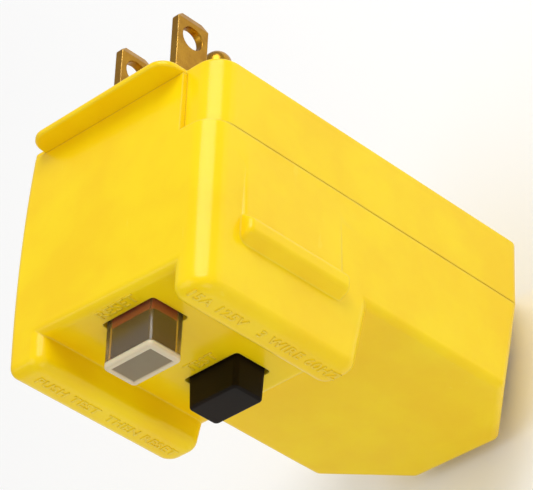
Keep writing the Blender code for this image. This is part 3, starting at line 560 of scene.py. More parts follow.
# The last colour of each metal below is a painted highlight on its edges.
BRASS = RolledMetal(
    "blade_brass", colour=(0.47, 0.24, 0.02), tarnish=(0.36, 0.17, 0.014), bright=(0.95, 0.7, 0.3),
    roughness=0.26,
)
COPPER = RolledMetal(
    "contact_copper", colour=(0.78, 0.4, 0.22), tarnish=(0.42, 0.19, 0.1), bright=(0.95, 0.62, 0.42),
    roughness=0.3,
)
PLATED_STEEL = RolledMetal(
    "plated_steel", colour=(0.62, 0.62, 0.6), tarnish=(0.38, 0.37, 0.34), bright=(0.85, 0.85, 0.83),
    roughness=0.3,
)
# its second colour is painted shade between the turns
WIRE_COPPER = EnamelledWire("coil_wire", colour=(0.62, 0.24, 0.09), groove_shade=(0.16, 0.05, 0.02))
LAMINATE = BoardLaminate("board_green", mask=(0.015, 0.13, 0.05), track=(0.05, 0.27, 0.11))
RUBBER = SoftRubber("grommet_rubber", colour=(0.018, 0.018, 0.018), bloom=(0.09, 0.085, 0.08))

SLOT_FINISHES: dict[str, Finish] = {
    "yellow_plastic": YELLOW,
    "black_plastic": INNER_BLACK,
    "orange_plastic": SIGNAL_ORANGE,
    "clear_plastic": CAP_CLEAR,
    "brass": BRASS,
    "copper": COPPER,
    "steel": PLATED_STEEL,
    "rubber": RUBBER,
    "board_laminate": LAMINATE,
    "ferrite": COATED_FERRITE,
    "nylon": NATURAL_NYLON,
    "capacitor_sleeve": SLEEVE_BLUE,
    "varistor_coat": DIPPED_BLUE,
}


# --- Outlines and solids, in millimetres ------------------------------------------------------------------


class Axis(Enum):
    """The axis a solid is stacked along."""

    X = "X"
    Y = "Y"
    Z = "Z"

    def place(self, first: float, second: float, along: float) -> Vector:
        """Point from two outline coordinates and a distance along this axis."""
        if self is Axis.X:
            return Vector((along, first, second))
        if self is Axis.Y:
            return Vector((first, along, second))
        return Vector((first, second, along))


@dataclass(frozen=True)
class Outline:
    """Counter-clockwise corners with a rounding radius at each; radius 0 keeps the corner as one point."""

    corners: tuple[tuple[float, float], ...]
    radii: tuple[float, ...]
    steps: int = 10

    def inset(self, distance: float) -> Outline:
        """The same outline moved inward, or outward for a negative distance."""
        moved = []
        total = len(self.corners)
        for i, corner in enumerate(self.corners):
            here = Vector(corner)
            before = (here - Vector(self.corners[i - 1])).normalized()
            after = (Vector(self.corners[(i + 1) % total]) - here).normalized()
            inward = Vector((-before.y - after.y, before.x + after.x)) / (1 + before.dot(after))
            moved.append(tuple(here + inward * distance))
        radii = tuple(0.0 if radius == 0 else max(radius - distance, 0.2) for radius in self.radii)
        return Outline(tuple(moved), radii, self.steps)

    def points(self) -> list[Vector]:
        """Corner points with an arc at every rounded corner."""
        points = []
        total = len(self.corners)
        for i, corner in enumerate(self.corners):
            here = Vector(corner)
            if self.radii[i] == 0:
                points.append(here)
                continue
            back = (Vector(self.corners[i - 1]) - here).normalized()
            ahead = (Vector(self.corners[(i + 1) % total]) - here).normalized()
            half = back.angle(ahead) / 2
            centre = here + (back + ahead).normalized() * self.radii[i] / math.sin(half)
            start = here + back * self.radii[i] / math.tan(half) - centre
            end = here + ahead * self.radii[i] / math.tan(half) - centre
            sweep = math.pi - 2 * half
            for step in range(self.steps + 1):
                turn = sweep * step / self.steps
                spoke = (start * math.sin(sweep - turn) + end * math.sin(turn)) / math.sin(sweep)
                points.append(centre + spoke)
        return points


Sections = list[tuple[float, list[Vector]]]


def box_outline(centre: tuple[float, float], size: tuple[float, float], radius: float = 0.0) -> Outline:
    """Rectangle around a centre with equal corner radii."""
    a, b = size[0] / 2, size[1] / 2
    x, z = centre
    return Outline(((x + a, z + b), (x - a, z + b), (x - a, z - b), (x + a, z - b)), (radius,) * 4)


def rolled(
    at: Callable[[float], Outline], face: float, inward: int, radius: float, steps: int = 7
) -> Sections:
    """Sections that roll side walls over into an end face.

    Args:
        at: The outline at a distance along the axis.
        face: Where the end face lies.
        inward: Sign of the direction from the face into the solid.
        radius: Radius of the rolled edge.
        steps: Segments in the roll.

    Returns:
        Sections from the walls to the face.
    """
    sections = []
    for step in range(steps + 1):
        angle = math.pi / 2 * step / steps
        along = face + inward * radius * (1 - math.sin(angle))
        sections.append((along, at(along).inset(radius * (1 - math.cos(angle))).points()))
    return sections


def add_object(name: str, data: bpy.types.ID) -> bpy.types.Object:
    """Make an object for a mesh, curve, lamp or camera and link it to the scene."""
    thing = bpy.data.objects.new(name, data)
    bpy.context.scene.collection.objects.link(thing)
    return thing


def finish_mesh(name: str, mesh: bmesh.types.BMesh) -> bpy.types.Object:
    """Turn a bmesh in millimetres into an object in metres at the origin."""
    bmesh.ops.recalc_face_normals(mesh, faces=mesh.faces)
    bmesh.ops.scale(mesh, vec=(MM, MM, MM), verts=mesh.verts)
    data = bpy.data.meshes.new(name)
    mesh.to_mesh(data)
    mesh.free()
    return add_object(name, data)


def loft(name: str, axis: Axis, sections: Sections) -> bpy.types.Object:
    """Closed solid through outlines of equal count, stacked along an axis."""
    mesh = bmesh.new()
    rings = [[mesh.verts.new(axis.place(a, b, along)) for a, b in outline] for along, outline in sections]
    for ring, following in zip(rings, rings[1:]):
        for i, vert in enumerate(ring):
            j = (i + 1) % len(ring)
            mesh.faces.new((vert, ring[j], following[j], following[i]))
    mesh.faces.new(rings[0])
    mesh.faces.new(rings[-1])
    return finish_mesh(name, mesh)


def plate(name: str, axis: Axis, outline: Outline, limits: tuple[float, float]) -> bpy.types.Object:
    """Outline extruded between two levels of an axis."""
    points = outline.points()
    return loft(name, axis, [(limits[0], points), (limits[1], points)])


def turned(
    name: str,
    axis: Axis,
    centre: tuple[float, float],
    profile: Sequence[tuple[float, float]],
    sides: int = 48,
) -> bpy.types.Object:
    """Solid of revolution from (distance along the axis, radius) pairs, closed at both ends."""
    sections = []
    for along, radius in profile:
        ring = []
        for side in range(sides):
            angle = 2 * math.pi * side / sides
            ring.append(Vector((centre[0] + radius * math.cos(angle), centre[1] + radius * math.sin(angle))))
        sections.append((along, ring))
    return loft(name, axis, sections)


def baked(thing: bpy.types.Object) -> bpy.types.Object:
    """Apply an object's modifiers and leave a plain mesh."""
    bpy.context.view_layer.update()
    graph = bpy.context.evaluated_depsgraph_get()
    data = bpy.data.meshes.new_from_object(thing.evaluated_get(graph))
    thing.modifiers.clear()
    thing.data = data
    return thing


def combine(target: bpy.types.Object, operation: str, tools: Sequence[bpy.types.Object]) -> bpy.types.Object:
    """Apply one kind of boolean with several tools, and drop the tools."""
    for tool in tools:
        modifier = target.modifiers.new(operation, "BOOLEAN")
        modifier.operation = operation
        modifier.object = tool
        baked(target)
        bpy.data.objects.remove(tool, do_unlink=True)
    return target


def cut(target: bpy.types.Object, *tools: bpy.types.Object) -> bpy.types.Object:
    """Subtract tools from a solid."""
    return combine(target, "DIFFERENCE", tools)


def weld(target: bpy.types.Object, *tools: bpy.types.Object) -> bpy.types.Object:
    """Join tools to a solid."""
    return combine(target, "UNION", tools)


def polish(thing: bpy.types.Object, name: str, finish: Finish, sharp: float = 25.0) -> bpy.types.Object:
    """Name and dress a finished solid, shading it smooth with flat faces kept flat.

    Args:
        thing: The solid.
        name: Its final name.
        finish: The finish it gets.
        sharp: Angle in degrees past which an edge stays sharp.

    Returns:
        The same object.
    """
    thing.name = name
    thing.data.materials.clear()
    thing.data.materials.append(finish.material())
    thing.data.polygons.foreach_set("material_index", [0] * len(thing.data.polygons))
    thing.data.shade_smooth()
    thing.data.set_sharp_from_angle(angle=math.radians(sharp))
    weighting = thing.modifiers.new("even_shading", "WEIGHTED_NORMAL")
    weighting.keep_sharp = True
    weighting.weight = 80
    return baked(thing)


def mount_piece(piece: bpy.types.Object, body: str, replaced: Sequence[str] = ()) -> None:
    """Put a finished piece on its body and the nodes it stands for, and report it."""
    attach(piece, body)
    if replaced:
        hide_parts(*replaced)
    LOG.info("%s rides on %s: %d faces", piece.name, body, len(piece.data.polygons))


def span(node: str) -> tuple[Vector, Vector]:
    """Lowest and highest corner of a CAD node, in millimetres."""
    low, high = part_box(node)
    return low / MM, high / MM


def middle(node: str) -> Vector:
    """Centre of a CAD node's box, in millimetres."""
    low, high = span(node)
    return (low + high) / 2


# --- Housing shells ---------------------------------------------------------------------------------------


@dataclass(frozen=True)
class Envelope:
    """Outer form shared by the two shells."""

    half_width: float
    ridge_y: float
    cover_end_z: float
    front_y: float = -29.0  # main front face of the lower half
    floor_y: float = -36.5  # floor of the channel that holds the keys
    parting_y: float = -11.85  # joint line
    cover_top_z: float = 6.4
    near_top_z: float = 7.15
    far_top_z: float = 7.5
    top_swell: float = 1.4
    swell_y: float = -28.0
    end_slope: float = 2.0  # how much the end wall leans in toward the front
    cover_chamfer: float = 80.0  # |x| + |z| on the 45 degree corner
    front_chamfer: float = 77.0
    crease_z: float = -50.7
    sink: float = 1.2  # how far the lower half stays below the top face
    shy: float = 0.015  # how far it stays inside the block where the two overlap
    wall: float = 2.2
    near_corner: float = 4.2
    far_corner: float = 1.5
    end_corner: float = 1.8
    block_foot_z: float = -27.4
    block_front_z: float = -24.8
    block_corner: float = 2.6
    cord_y: float = -15.0
    cord_hole: float = 5.6
    cord_hole_z: tuple[float, float] = (-75.0, -66.3)
    screw_places: tuple[tuple[float, float], ...] = ((13.2, -20.2), (-13.2, -20.2), (11.2, -58.9),
                                                     (-11.2, -58.9))

    def share(self, y: float, far_y: float, near_y: float) -> float:
        """0 at near_y and behind it, 1 at far_y and in front of it."""
        return min(1.0, max(0.0, (near_y - y) / (near_y - far_y)))

    def far_top(self, y: float) -> float:
        """Height of the top face at the far side, which swells gently toward the middle of the depth."""
        return self.far_top_z + self.top_swell * max(0.0, 1 - ((y - self.swell_y) / self.swell_y) ** 2)

    def _outline(self, y: float, top: float) -> Outline:
        """Plan of a shell at depth y with its top edge at a height."""
        share = self.share(y, self.front_y, self.parting_y)
        end = self.cover_end_z + self.end_slope * share
        slant = self.cover_chamfer + (self.front_chamfer - self.cover_chamfer) * share
        w, side, foot = self.half_width, slant - self.half_width, slant + end
        corners = ((w, top), (-w, top), (-w, self.crease_z), (-w, -side), (-foot, end), (foot, end),
                   (w, -side), (w, self.crease_z))
        e = self.end_corner
        return Outline(corners, (self.near_corner, self.far_corner, 0.0, e, e, e, e, 0.0))

    def body(self, y: float) -> Outline:
        """Plan of the lower half; its top edge is buried in the key block."""
        return self._outline(y, self.near_top_z - self.sink).inset(self.shy)

    def cover(self, y: float) -> Outline:
        """Plan of the cover below its flange."""
        return self._outline(y, self.cover_top_z)

    def block(self, y: float) -> Outline:
        """Plan of the key block and its ridges."""
        share = self.share(y, self.ridge_y, self.front_y)
        foot = self.block_foot_z + (self.block_front_z - self.block_foot_z) * share
        w = self.half_width
        corners = ((w, self.near_top_z), (-w, self.far_top(y)), (-w, foot), (w, foot))
        return Outline(corners, (self.near_corner, self.far_corner, self.block_corner, self.block_corner))

    def cord_tool(self) -> bpy.types.Object:
        """Round opening in the end wall, shared by both shells."""
        profile = [(z, self.cord_hole) for z in self.cord_hole_z]
        return turned("cord_opening", Axis.Z, (0.0, self.cord_y), profile)


@dataclass
class FrontShell:
    """Front half with the key block, guard ridges, side grips and the slots for the keys."""

    envelope: Envelope
    front_round: float = 1.3
    ridge_round: float = 1.9
    crease_fall: float = 0.3
    channel_half: float = 13.0
    mouth_round: float = 1.6
    ridge_inner_round: float = 2.4
    ridge_root: float = 0.6  # how far the ridges start behind the rolled edge of the floor
    top_seam: float = 0.03
    floor_thickness: float = 2.2
    panel_edge_x: float = 13.5
    flange_thickness: float = 1.1
    grip_z: tuple[float, float] = (-20.8, 0.3)
    grip_crest_y: tuple[float, float] = (-27.9, -30.2)
    grip_ramp: tuple[float, float] = (-26.7, 0.55)  # where the ramp ends, and how high it has risen
    grip_foot_y: float = -31.5
    grip_rise: float = 2.15
    grip_crest_round: float = 1.15
    grip_root: float = 1.4  # how deep the grip is set into the wall
    grip_gap: float = 0.4  # how far it starts in front of the joint line
    grip_end_round: float = 1.0
    slot_margin: float = 0.35
    slot_corner: float = 0.6
    boss_radius: float = 2.8
    saddle_z: tuple[float, float] = (-66.0, -59.0)
    saddle_radius: float = 4.2
    cradle_z: float = -62.75
    cradle_size: tuple[float, float] = (15.2, 4.5)
    cradle_top_y: float = -16.6

    def build(self) -> None:
        """Model the shell and mount it in place of its CAD node."""
        env = self.envelope
        start = env.parting_y - SEAM / 2
        shell = weld(self._lower_half(start - env.shy), self._tower(start))
        hollow = [(y, env.cover(start).inset(env.wall).points()) for y in (start + 2, start - 0.2)]
        deep = env.front_y + env.wall
        hollow.append((deep, env.cover(deep).inset(env.wall).points()))
        floor_back = env.floor_y + self.floor_thickness
        pocket = [(deep + 3, env.block(env.front_y).inset(env.wall + 0.05).points()),
                  (floor_back, env.block(floor_back).inset(env.wall + 0.05).points())]
        cut(shell, loft("inside", Axis.Y, hollow), loft("inside_block", Axis.Y, pocket))
        weld(shell, self._grip(1), self._grip(-1), *self._bosses(floor_back))
        for node in ("reset_button", "test_button"):
            cut(shell, self._key_slot(node))
        saddle = [(z, self.saddle_radius) for z in self.saddle_z]
        cut(shell, turned("saddle", Axis.Z, (0.0, env.cord_y), saddle), env.cord_tool())
        polish(shell, "front_shell", YELLOW)
        mount_piece(shell, "base", ["button_housing"])

    def _lower_half(self, start: float) -> bpy.types.Object:
        """Main box with its rolled front edge; the front face falls away past a crease."""
        env = self.envelope
        sections = [(start, env.body(start).points())] + rolled(env.body, env.front_y, 1, self.front_round)
        shell = loft("front_shell", Axis.Y, sections)
        mesh = bmesh.new()
        mesh.from_mesh(shell.data)
        crease = env.crease_z * MM
        face_y = env.front_y * MM
        geometry = [*mesh.verts, *mesh.edges, *mesh.faces]
        bmesh.ops.bisect_plane(mesh, geom=geometry, dist=1e-6, plane_co=(0, 0, crease), plane_no=(0, 0, 1))
        length = crease - (env.cover_end_z + env.end_slope) * MM
        for vert in mesh.verts:
            depth = min(1.0, max(0.0, 1 - (vert.co.y - face_y) / (self.front_round * MM)))
            past = max(0.0, crease - vert.co.z) / length
            vert.co.y += self.crease_fall * MM * past * depth
        mesh.to_mesh(shell.data)
        mesh.free()
        return shell

    def _tower(self, start: float) -> bpy.types.Object:
        """Key block from the flange to the channel floor, with a guard ridge on each side of the floor."""
        env = self.envelope
        back = -self.flange_thickness - self.top_seam
        roll_y = env.floor_y + self.mouth_round
        root = roll_y + self.ridge_root
        levels = [back + (root - back) * i / 14 for i in range(15)]
        bulk = [(y, env.block(y).points()) for y in levels]
        tower = loft("tower", Axis.Y, bulk + rolled(env.block, env.floor_y, 1, self.mouth_round))
        top_edge = self.panel_edge_x - self.top_seam / 2
        behind = box_outline((top_edge + 10.0, -20.0), (20.0, 80.0))
        under = box_outline((0.0, env.near_top_z - env.wall - 40.0), (60.0, 80.0))
        cut(tower, plate("behind", Axis.Y, behind, (start, 5.0)),
            plate("under", Axis.Y, under, (start, 5.0)))
        return weld(tower, self._ridge(1, root, roll_y), self._ridge(-1, root, roll_y))

    def _ridge(self, side: int, root: float, roll_y: float) -> bpy.types.Object:
        """Guard ridge along one side of the channel.

        Args:
            side: 1 for the near ridge, -1 for the far one.
            root: Where the ridge starts, inside the block.
            roll_y: Where the block's own rolled edge starts, a level that both share.

        Returns:
            The ridge as a closed solid.
        """
        env = self.envelope
        inner = self.ridge_inner_round

        def at(y: float) -> Outline:
            """Plan of the ridge at depth y."""
            (near_x, near_z), (far_x, far_z), (_, foot), _ = env.block(y).corners
            edge = side * self.channel_half
            height = near_z + (far_z - near_z) * (near_x - edge) / (near_x - far_x)
            if side > 0:
                corners = ((near_x, near_z), (edge, height), (edge, foot), (near_x, foot))
                return Outline(corners, (env.near_corner, inner, inner, env.block_corner))
            corners = ((edge, height), (far_x, far_z), (far_x, foot), (edge, foot))
            return Outline(corners, (inner, env.far_corner, env.block_corner, inner))

        front = env.ridge_y + self.ridge_round
        levels = [root, roll_y] + [roll_y + (front - roll_y) * i / 4 for i in range(1, 4)]
        sections = [(y, at(y).points()) for y in levels]
        return loft("ridge", Axis.Y, sections + rolled(at, env.ridge_y, 1, self.ridge_round))

    def _grip(self, side: int) -> bpy.types.Object:
        """Finger grip: a low ramp that runs from the joint line to a rounded bar."""
        low, high = self.grip_z
        radius = self.grip_end_round
        sections = []
        for end, inward in ((low, 1), (high, -1)):
            steps = [i / 6 for i in range(7)]
            for share in steps if inward > 0 else reversed(steps):
                angle = math.pi / 2 * (1 - share)
                z = end + inward * radius * (1 - math.sin(angle))
                sections.append((z, self._grip_outline(side, radius * (1 - math.cos(angle)))))
        return loft("grip", Axis.Z, sections)

    def _grip_outline(self, side: int, sink: float) -> list[Vector]:
        """Cross-section of the grip in X and Y, sunk toward the wall near its ends."""
        half = self.envelope.half_width
        start = self.envelope.parting_y - self.grip_gap
        root = half - self.grip_root
        foot = self.grip_foot_y + sink
        top, front = self.grip_crest_y
        ramp_y, ramp_rise = self.grip_ramp
        crest = half + self.grip_rise - sink
        corners = [(root, start), (root, foot), (half - 0.1 - sink, foot), (crest, front), (crest, top),
                   (half + ramp_rise - sink, ramp_y), (half - 0.05 - sink, start)]
        radii = [0.0, 0.0, 0.0, self.grip_crest_round, self.grip_crest_round, 0.4, 0.0]
        if side < 0:
            corners = [(-x, y) for x, y in reversed(corners)]
            radii.reverse()
        return Outline(tuple(corners), tuple(radii)).points()

    def _bosses(self, floor_back: float) -> list[bpy.types.Object]:
        """Screw bosses and the cord cradle."""
        env = self.envelope
        made = []
        for x, z in env.screw_places:
            foot = floor_back - 0.5 if z > env.block_foot_z else env.front_y + env.wall - 0.5
            profile = [(y, self.boss_radius) for y in (foot, env.parting_y - 0.6)]
            made.append(turned("boss", Axis.Y, (x, z), profile, 24))
        cradle = box_outline((0.0, self.cradle_z), self.cradle_size)
        made.append(plate("cradle", Axis.Y, cradle, (env.front_y + env.wall - 0.5, self.cradle_top_y)))
        return made

    def _key_slot(self, node: str) -> bpy.types.Object:
        """Opening in the channel floor around a key, a little larger than the key where it passes."""
        base = KEY_BASES[node]
        centre = middle(node)
        size = (base[0] + 2 * self.slot_margin, base[1] + 2 * self.slot_margin)
        depth = (self.envelope.floor_y - 3, self.envelope.floor_y + self.floor_thickness + 3)
        return plate("slot", Axis.Y, box_outline((centre.x, centre.z), size, self.slot_corner), depth)


@dataclass
class RearShell:
    """Rear half: face plate, pull flange, prong slots and screw pockets."""

    envelope: Envelope
    face_plate: float = 2.4
    edge_round: float = 0.5
    flange_x: tuple[float, float] = (-17.0, 13.3)
    flange_z: float = 11.3
    flange_thickness: float = 1.1
    flange_corner: float = 3.0
    return_x: float = 13.5
    notch_top_z: float = 12.0
    notch_far_x: float = -25.0
    pocket_radius: float = 2.55
    pocket_depth: float = 5.6
    boss_radius: float = 3.3
    shank_hole: float = 1.5
    pin_hole: float = 2.7
    far_strip_y: float = -0.35

    def build(self) -> None:
        """Model the shell and mount it in place of its CAD node."""
        env = self.envelope
        edge = env.parting_y + SEAM / 2
        sections = rolled(env.cover, 0.0, -1, self.edge_round, 5)[::-1]
        sections.append((edge, env.cover(edge).points()))
        shell = loft("rear_shell", Axis.Y, sections)
        hollow = [(-self.face_plate, env.cover(0).inset(env.wall).points()),
                  (edge - 1, env.cover(edge).inset(env.wall).points())]
        near, far, top = self.return_x, self.notch_far_x, self.notch_top_z
        foot = env.near_top_z - env.wall - GAP
        notch = Outline(((near, top), (far, top), (far, foot), (near, foot)), (0.0,) * 4)
        cut(shell, plate("notch", Axis.Y, notch, (edge - 1, -self.flange_thickness)),
            loft("hollow", Axis.Y, hollow))
        weld(shell, self._flange(), self._far_strip())
        for place in env.screw_places:
            weld(shell, turned("boss", Axis.Y, place,
                               [(-1.0, self.boss_radius), (edge + 0.8, self.boss_radius)], 32))
        for place in env.screw_places:
            pocket = [(-self.pocket_depth, self.pocket_radius), (-0.35, self.pocket_radius),
                      (0.1, self.pocket_radius + 0.4), (1.0, self.pocket_radius + 0.4)]
            cut(shell, turned("pocket", Axis.Y, place, pocket),
                turned("shank_hole", Axis.Y, place, [(y, self.shank_hole) for y in (edge - 2, -4.0)], 24))
        for node in ("line_blade", "neutral_blade"):
            low, high = span(node)
            size = (high.x - low.x + 2 * GAP, BLADE_WIDTH + 2 * GAP)
            cut(shell,
                plate("blade_slot", Axis.Y, box_outline((middle(node).x, 0.0), size, 0.25), (-5.0, 2.0)))
        pin = middle("ground_pin")
        hole = [(-5.0, self.pin_hole), (2.0, self.pin_hole)]
        cut(shell, turned("pin_hole", Axis.Y, (pin.x, pin.z), hole), env.cord_tool())
        polish(shell, "rear_shell", YELLOW)
        mount_piece(shell, "base", ["prong_cover"])

    def _flange(self) -> bpy.types.Object:
        """Thin lip along the top of the face plate, with rounded corners and edges."""
        c = self.flange_corner
        near, far = self.flange_x[1], self.flange_x[0]
        corners = ((near, self.flange_z), (far, self.flange_z), (far, 2.0), (near, 2.0))
        outline = Outline(corners, (c, c, 0.5, 0.5), 16)

        def at(along: float) -> Outline:
            """The flange keeps one outline through its thickness."""
            return outline

        sections = rolled(at, 0.0, -1, 0.45, 5)[::-1] + rolled(at, -self.flange_thickness, 1, 0.35, 5)
        return loft("flange", Axis.Y, sections)

    def _far_strip(self) -> bpy.types.Object:
        """Far end of the face plate beyond the flange, level with the front shell's top panel."""
        env = self.envelope
        corners = ((-10.0, 3.0), (-10.0, env.far_top_z), (-env.half_width, env.far_top_z),
                   (-env.half_width, 3.0))
        outline = Outline(corners, (0.0, 0.0, env.far_corner, 0.0))
        return plate("far_strip", Axis.Y, outline, (-self.flange_thickness, self.far_strip_y))


# --- Prongs -----------------------------------------------------------------------------------------------


@dataclass
class Prongs:
    """Two flat blades and the round ground pin."""

    tip_chamfer: float = 1.1
    tip_thickness: float = 0.5
    hole_from_tip: float = 4.1
    hole_radius: float = 2.0
    hole_rim: float = 0.12
    hole_flare: float = 0.26
    tip_length: float = 1.3
    edge_bevel: float = 0.14
    tail_half: float = 2.0
    shoulder: tuple[float, float] = (-4.3, -2.7)
    shoulder_half: float = 4.1
    pin_radius: float = 2.4
    pin_tail_radius: float = 1.5
    pin_shoulder_radius: float = 3.5

    def build(self) -> None:
        """Model the three prongs."""
        self._blade("line_blade", "line_prong")
        self._blade("neutral_blade", "neutral_prong")
        self._pin()

    def _blade(self, node: str, name: str) -> None:
        """Flat blade with a narrow tail, a shoulder, a bevelled tip and a hole."""
        low, high = span(node)
        half, tip, c = BLADE_WIDTH / 2, high.y, self.tip_chamfer
        rear, front = self.shoulder
        side = ((low.y, self.tail_half), (rear, self.tail_half), (rear, self.shoulder_half),
                (front, self.shoulder_half), (front, half), (tip - c, half), (tip, half - c))
        corners = tuple((y, -z) for y, z in side) + tuple(reversed(side))
        radii = (0.0,) * 5 + (0.25, 0.25, 0.25, 0.25) + (0.0,) * 5
        blade = plate(name, Axis.X, Outline(corners, radii, 4), (low.x, high.x))
        centre = (low.x + high.x) / 2
        for face in (-1, 1):
            thin = centre + face * self.tip_thickness / 2
            full = centre + face * (high.x - low.x) / 2
            outer = centre + face * 3
            start = tip - self.tip_length
            points = [(full, start), (thin, tip + 0.05), (outer, tip + 0.05), (outer, start)]
            wedge = Outline(tuple(points if face > 0 else points[::-1]), (0.0,) * 4)
            cut(blade, plate("tip_wedge", Axis.Z, wedge, (-5.0, 5.0)))
        place = (tip - self.hole_from_tip, 0.0)
        r = self.hole_radius
        wide, rim = r + self.hole_flare, self.hole_rim
        hole = [(low.x - 1, wide), (low.x - rim, wide), (low.x + rim, r), (high.x - rim, r),
                (high.x + rim, wide), (high.x + 1, wide)]
        cut(blade, turned("hole", Axis.X, place, hole, 64))
        bevel = blade.modifiers.new("edge_break", "BEVEL")
        bevel.width = self.edge_bevel * MM
        bevel.segments = 3
        bevel.limit_method = "ANGLE"
        bevel.angle_limit = math.radians(40)
        polish(baked(blade), name, BRASS, 40)
        mount_piece(blade, "base", [node])

    def _pin(self) -> None:
        """Round pin with a domed tip."""
        low, high = span("ground_pin")
        centre = middle("ground_pin")
        radius = self.pin_radius
        dome = []
        for step in range(1, 16):
            angle = math.pi / 2 * step / 16
            dome.append((high.y - radius * (1 - math.sin(angle)), radius * math.cos(angle)))
        rear, front = self.shoulder
        profile = [(low.y, self.pin_tail_radius), (rear, self.pin_tail_radius),
                   (rear, self.pin_shoulder_radius), (front, self.pin_shoulder_radius), (front, radius),
                   (high.y - radius, radius), *dome, (high.y, 0.06)]
        pin = turned("ground_prong", Axis.Y, (centre.x, centre.z), profile)
        polish(pin, "ground_prong", BRASS)
        mount_piece(pin, "base", ["ground_pin"])


# --- Keys -------------------------------------------------------------------------------------------------


@dataclass
class Key:
    """A push key: tapered body with a rolled end and a skirt behind the channel floor."""

    node: str
    tip: tuple[float, float]
    skirt: tuple[float, float]
    floor_y: float
    corner: float = 0.8
    end_roll: float = 0.5
    floor_thickness: float = 2.2
    dish: float = 0.0

    def centre(self) -> tuple[float, float]:
        """Centre of the key in X and Z."""
        place = middle(self.node)
        return place.x, place.z

    def plan(self, y: float) -> Outline:
        """Outline of the key at depth y."""
        low, _ = span(self.node)
        share = min(1.0, max(0.0, (y - self.floor_y) / (low.y - self.floor_y)))
        base = KEY_BASES[self.node]
        size = (base[0] + (self.tip[0] - base[0]) * share, base[1] + (self.tip[1] - base[1]) * share)
        return box_outline(self.centre(), size, self.corner)

    def body(self, name: str) -> bpy.types.Object:
        """The key's outer form, dished on its end where the key has a dish."""
        low, _ = span(self.node)
        back = self.floor_y + self.floor_thickness
        sections = [(back + 1.5, self.plan(back).points()), (back, self.plan(back).points())]
        sections += rolled(self.plan, low.y, 1, self.end_roll, 6)
        if self.dish:
            sections.append((low.y, self.plan(low.y).inset(self.end_roll + 0.25).points()))
            sections.append((low.y + self.dish, self.plan(low.y).inset(self.end_roll + 0.6).points()))
        key = loft(name, Axis.Y, sections)
        skirt = box_outline(self.centre(), self.skirt, self.corner)
        return weld(key, plate("skirt", Axis.Y, skirt, (back + GAP, back + 1.5)))


@dataclass
class ResetKey:
    """Clear hollow key with a dark core, painted as the shade inside it, and an orange flag inside it."""

    key: Key
    wall: float = 0.85
    end_wall: float = 1.0
    core_gap: float = 0.15
    flag_length: float = 0.9
    stem_radius: float = 1.5
    foot: tuple[float, float] = (10.0, 6.4)
    foot_y: tuple[float, float] = (-32.5, -31.4)
    flag_foot_y: float = -32.0
    stem_y: float = -31.9

    def build(self) -> None:
        """Model the cap, its frosted end, its core and the orange insert."""
        self._cap()
        self._end()
        self._core()
        self._insert()

    def _cap(self) -> None:
        """Clear shell, open at the back."""
        low, high = span("reset_button")
        cap = self.key.body("reset_cap")
        well = self.key.plan(self.key.floor_y).inset(self.wall)
        over = box_outline(self.key.centre(), (20.0, 20.0))
        front = low.y + self.end_wall
        cut(cap, plate("well", Axis.Y, well, (low.y - 1.0, high.y + 1.5)),
            plate("front", Axis.Y, over, (low.y - 1.0, front + 0.02)))
        polish(cap, "reset_cap", CAP_CLEAR)
        mount_piece(cap, "reset_key", ["reset_button"])

    def _end(self) -> None:
        """Frosted end of the cap: a rolled rim around a slightly sunk window that carries painted shade."""
        low, _ = span("reset_button")
        front = low.y + self.end_wall
        sections = [(front, self.key.plan(front).points())]
        sections += rolled(self.key.plan, low.y, 1, self.key.end_roll, 6)
        sections.append((low.y, self.key.plan(low.y).inset(self.key.end_roll + 0.3).points()))
        sections.append((low.y + self.key.dish,
                         self.key.plan(low.y).inset(self.key.end_roll + 0.5).points()))
        end = loft("reset_end", Axis.Y, sections)
        half = (self.key.tip[0] / 2 - self.wall, self.key.tip[1] / 2 - self.wall)
        finish = FrostedEnd("key_frosted_end", self.key.centre(), half)
        polish(end, "reset_end", finish)
        mount_piece(end, "reset_key")

    def _core(self) -> None:
        """Dark core that fills the front of the well, standing in for the shade inside the hollow key."""
        low, _ = span("reset_button")
        front = low.y + self.end_wall + self.core_gap
        back = self.key.floor_y - self.flag_length

        def at(along: float) -> Outline:
            """The core keeps one outline along its length."""
            return self.key.plan(self.key.floor_y).inset(self.wall + self.core_gap)

        sections = [(back, at(back).points())] + rolled(at, front, 1, 0.5, 5)
        core = loft("reset_core", Axis.Y, sections)
        polish(core, "reset_core", CORE_SHADE)
        mount_piece(core, "reset_key")

    def _insert(self) -> None:
        """Orange flag, foot and stem in one moulding."""
        _, high = span("reset_plunger")
        front = self.key.floor_y - self.flag_length + 0.1
        flag = self.key.plan(self.key.floor_y).inset(self.wall + self.core_gap)
        insert = plate("reset_insert", Axis.Y, flag, (front, self.flag_foot_y))
        centre = self.key.centre()
        foot = box_outline(centre, self.foot, 0.5)
        r = self.stem_radius
        stem = [(self.stem_y, r), (high.y - 0.8, r), (high.y - 0.8, r + 0.8), (high.y, r + 0.8)]
        weld(insert, plate("foot", Axis.Y, foot, self.foot_y), turned("stem", Axis.Y, centre, stem, 32))
        polish(insert, "reset_insert", SIGNAL_ORANGE)
        mount_piece(insert, "reset_key", ["reset_plunger"])


@dataclass
class TestKey:
    """Solid black key with its stem."""

    key: Key
    stem_radius: float = 1.5
    stem_start: float = 3.2  # how far behind the channel floor the stem begins

    def build(self) -> None:
        """Model the key and mount it."""
        _, high = span("test_button")
        body = self.key.body("test_cap")
        stem = [(self.key.floor_y + self.stem_start, self.stem_radius), (high.y, self.stem_radius)]
        weld(body, turned("stem", Axis.Y, self.key.centre(), stem, 32))
        polish(body, "test_cap", KEY_BLACK)
        mount_piece(body, "test_key", ["test_button"])


# --- Repeated hardware, by node trees ---------------------------------------------------------------------


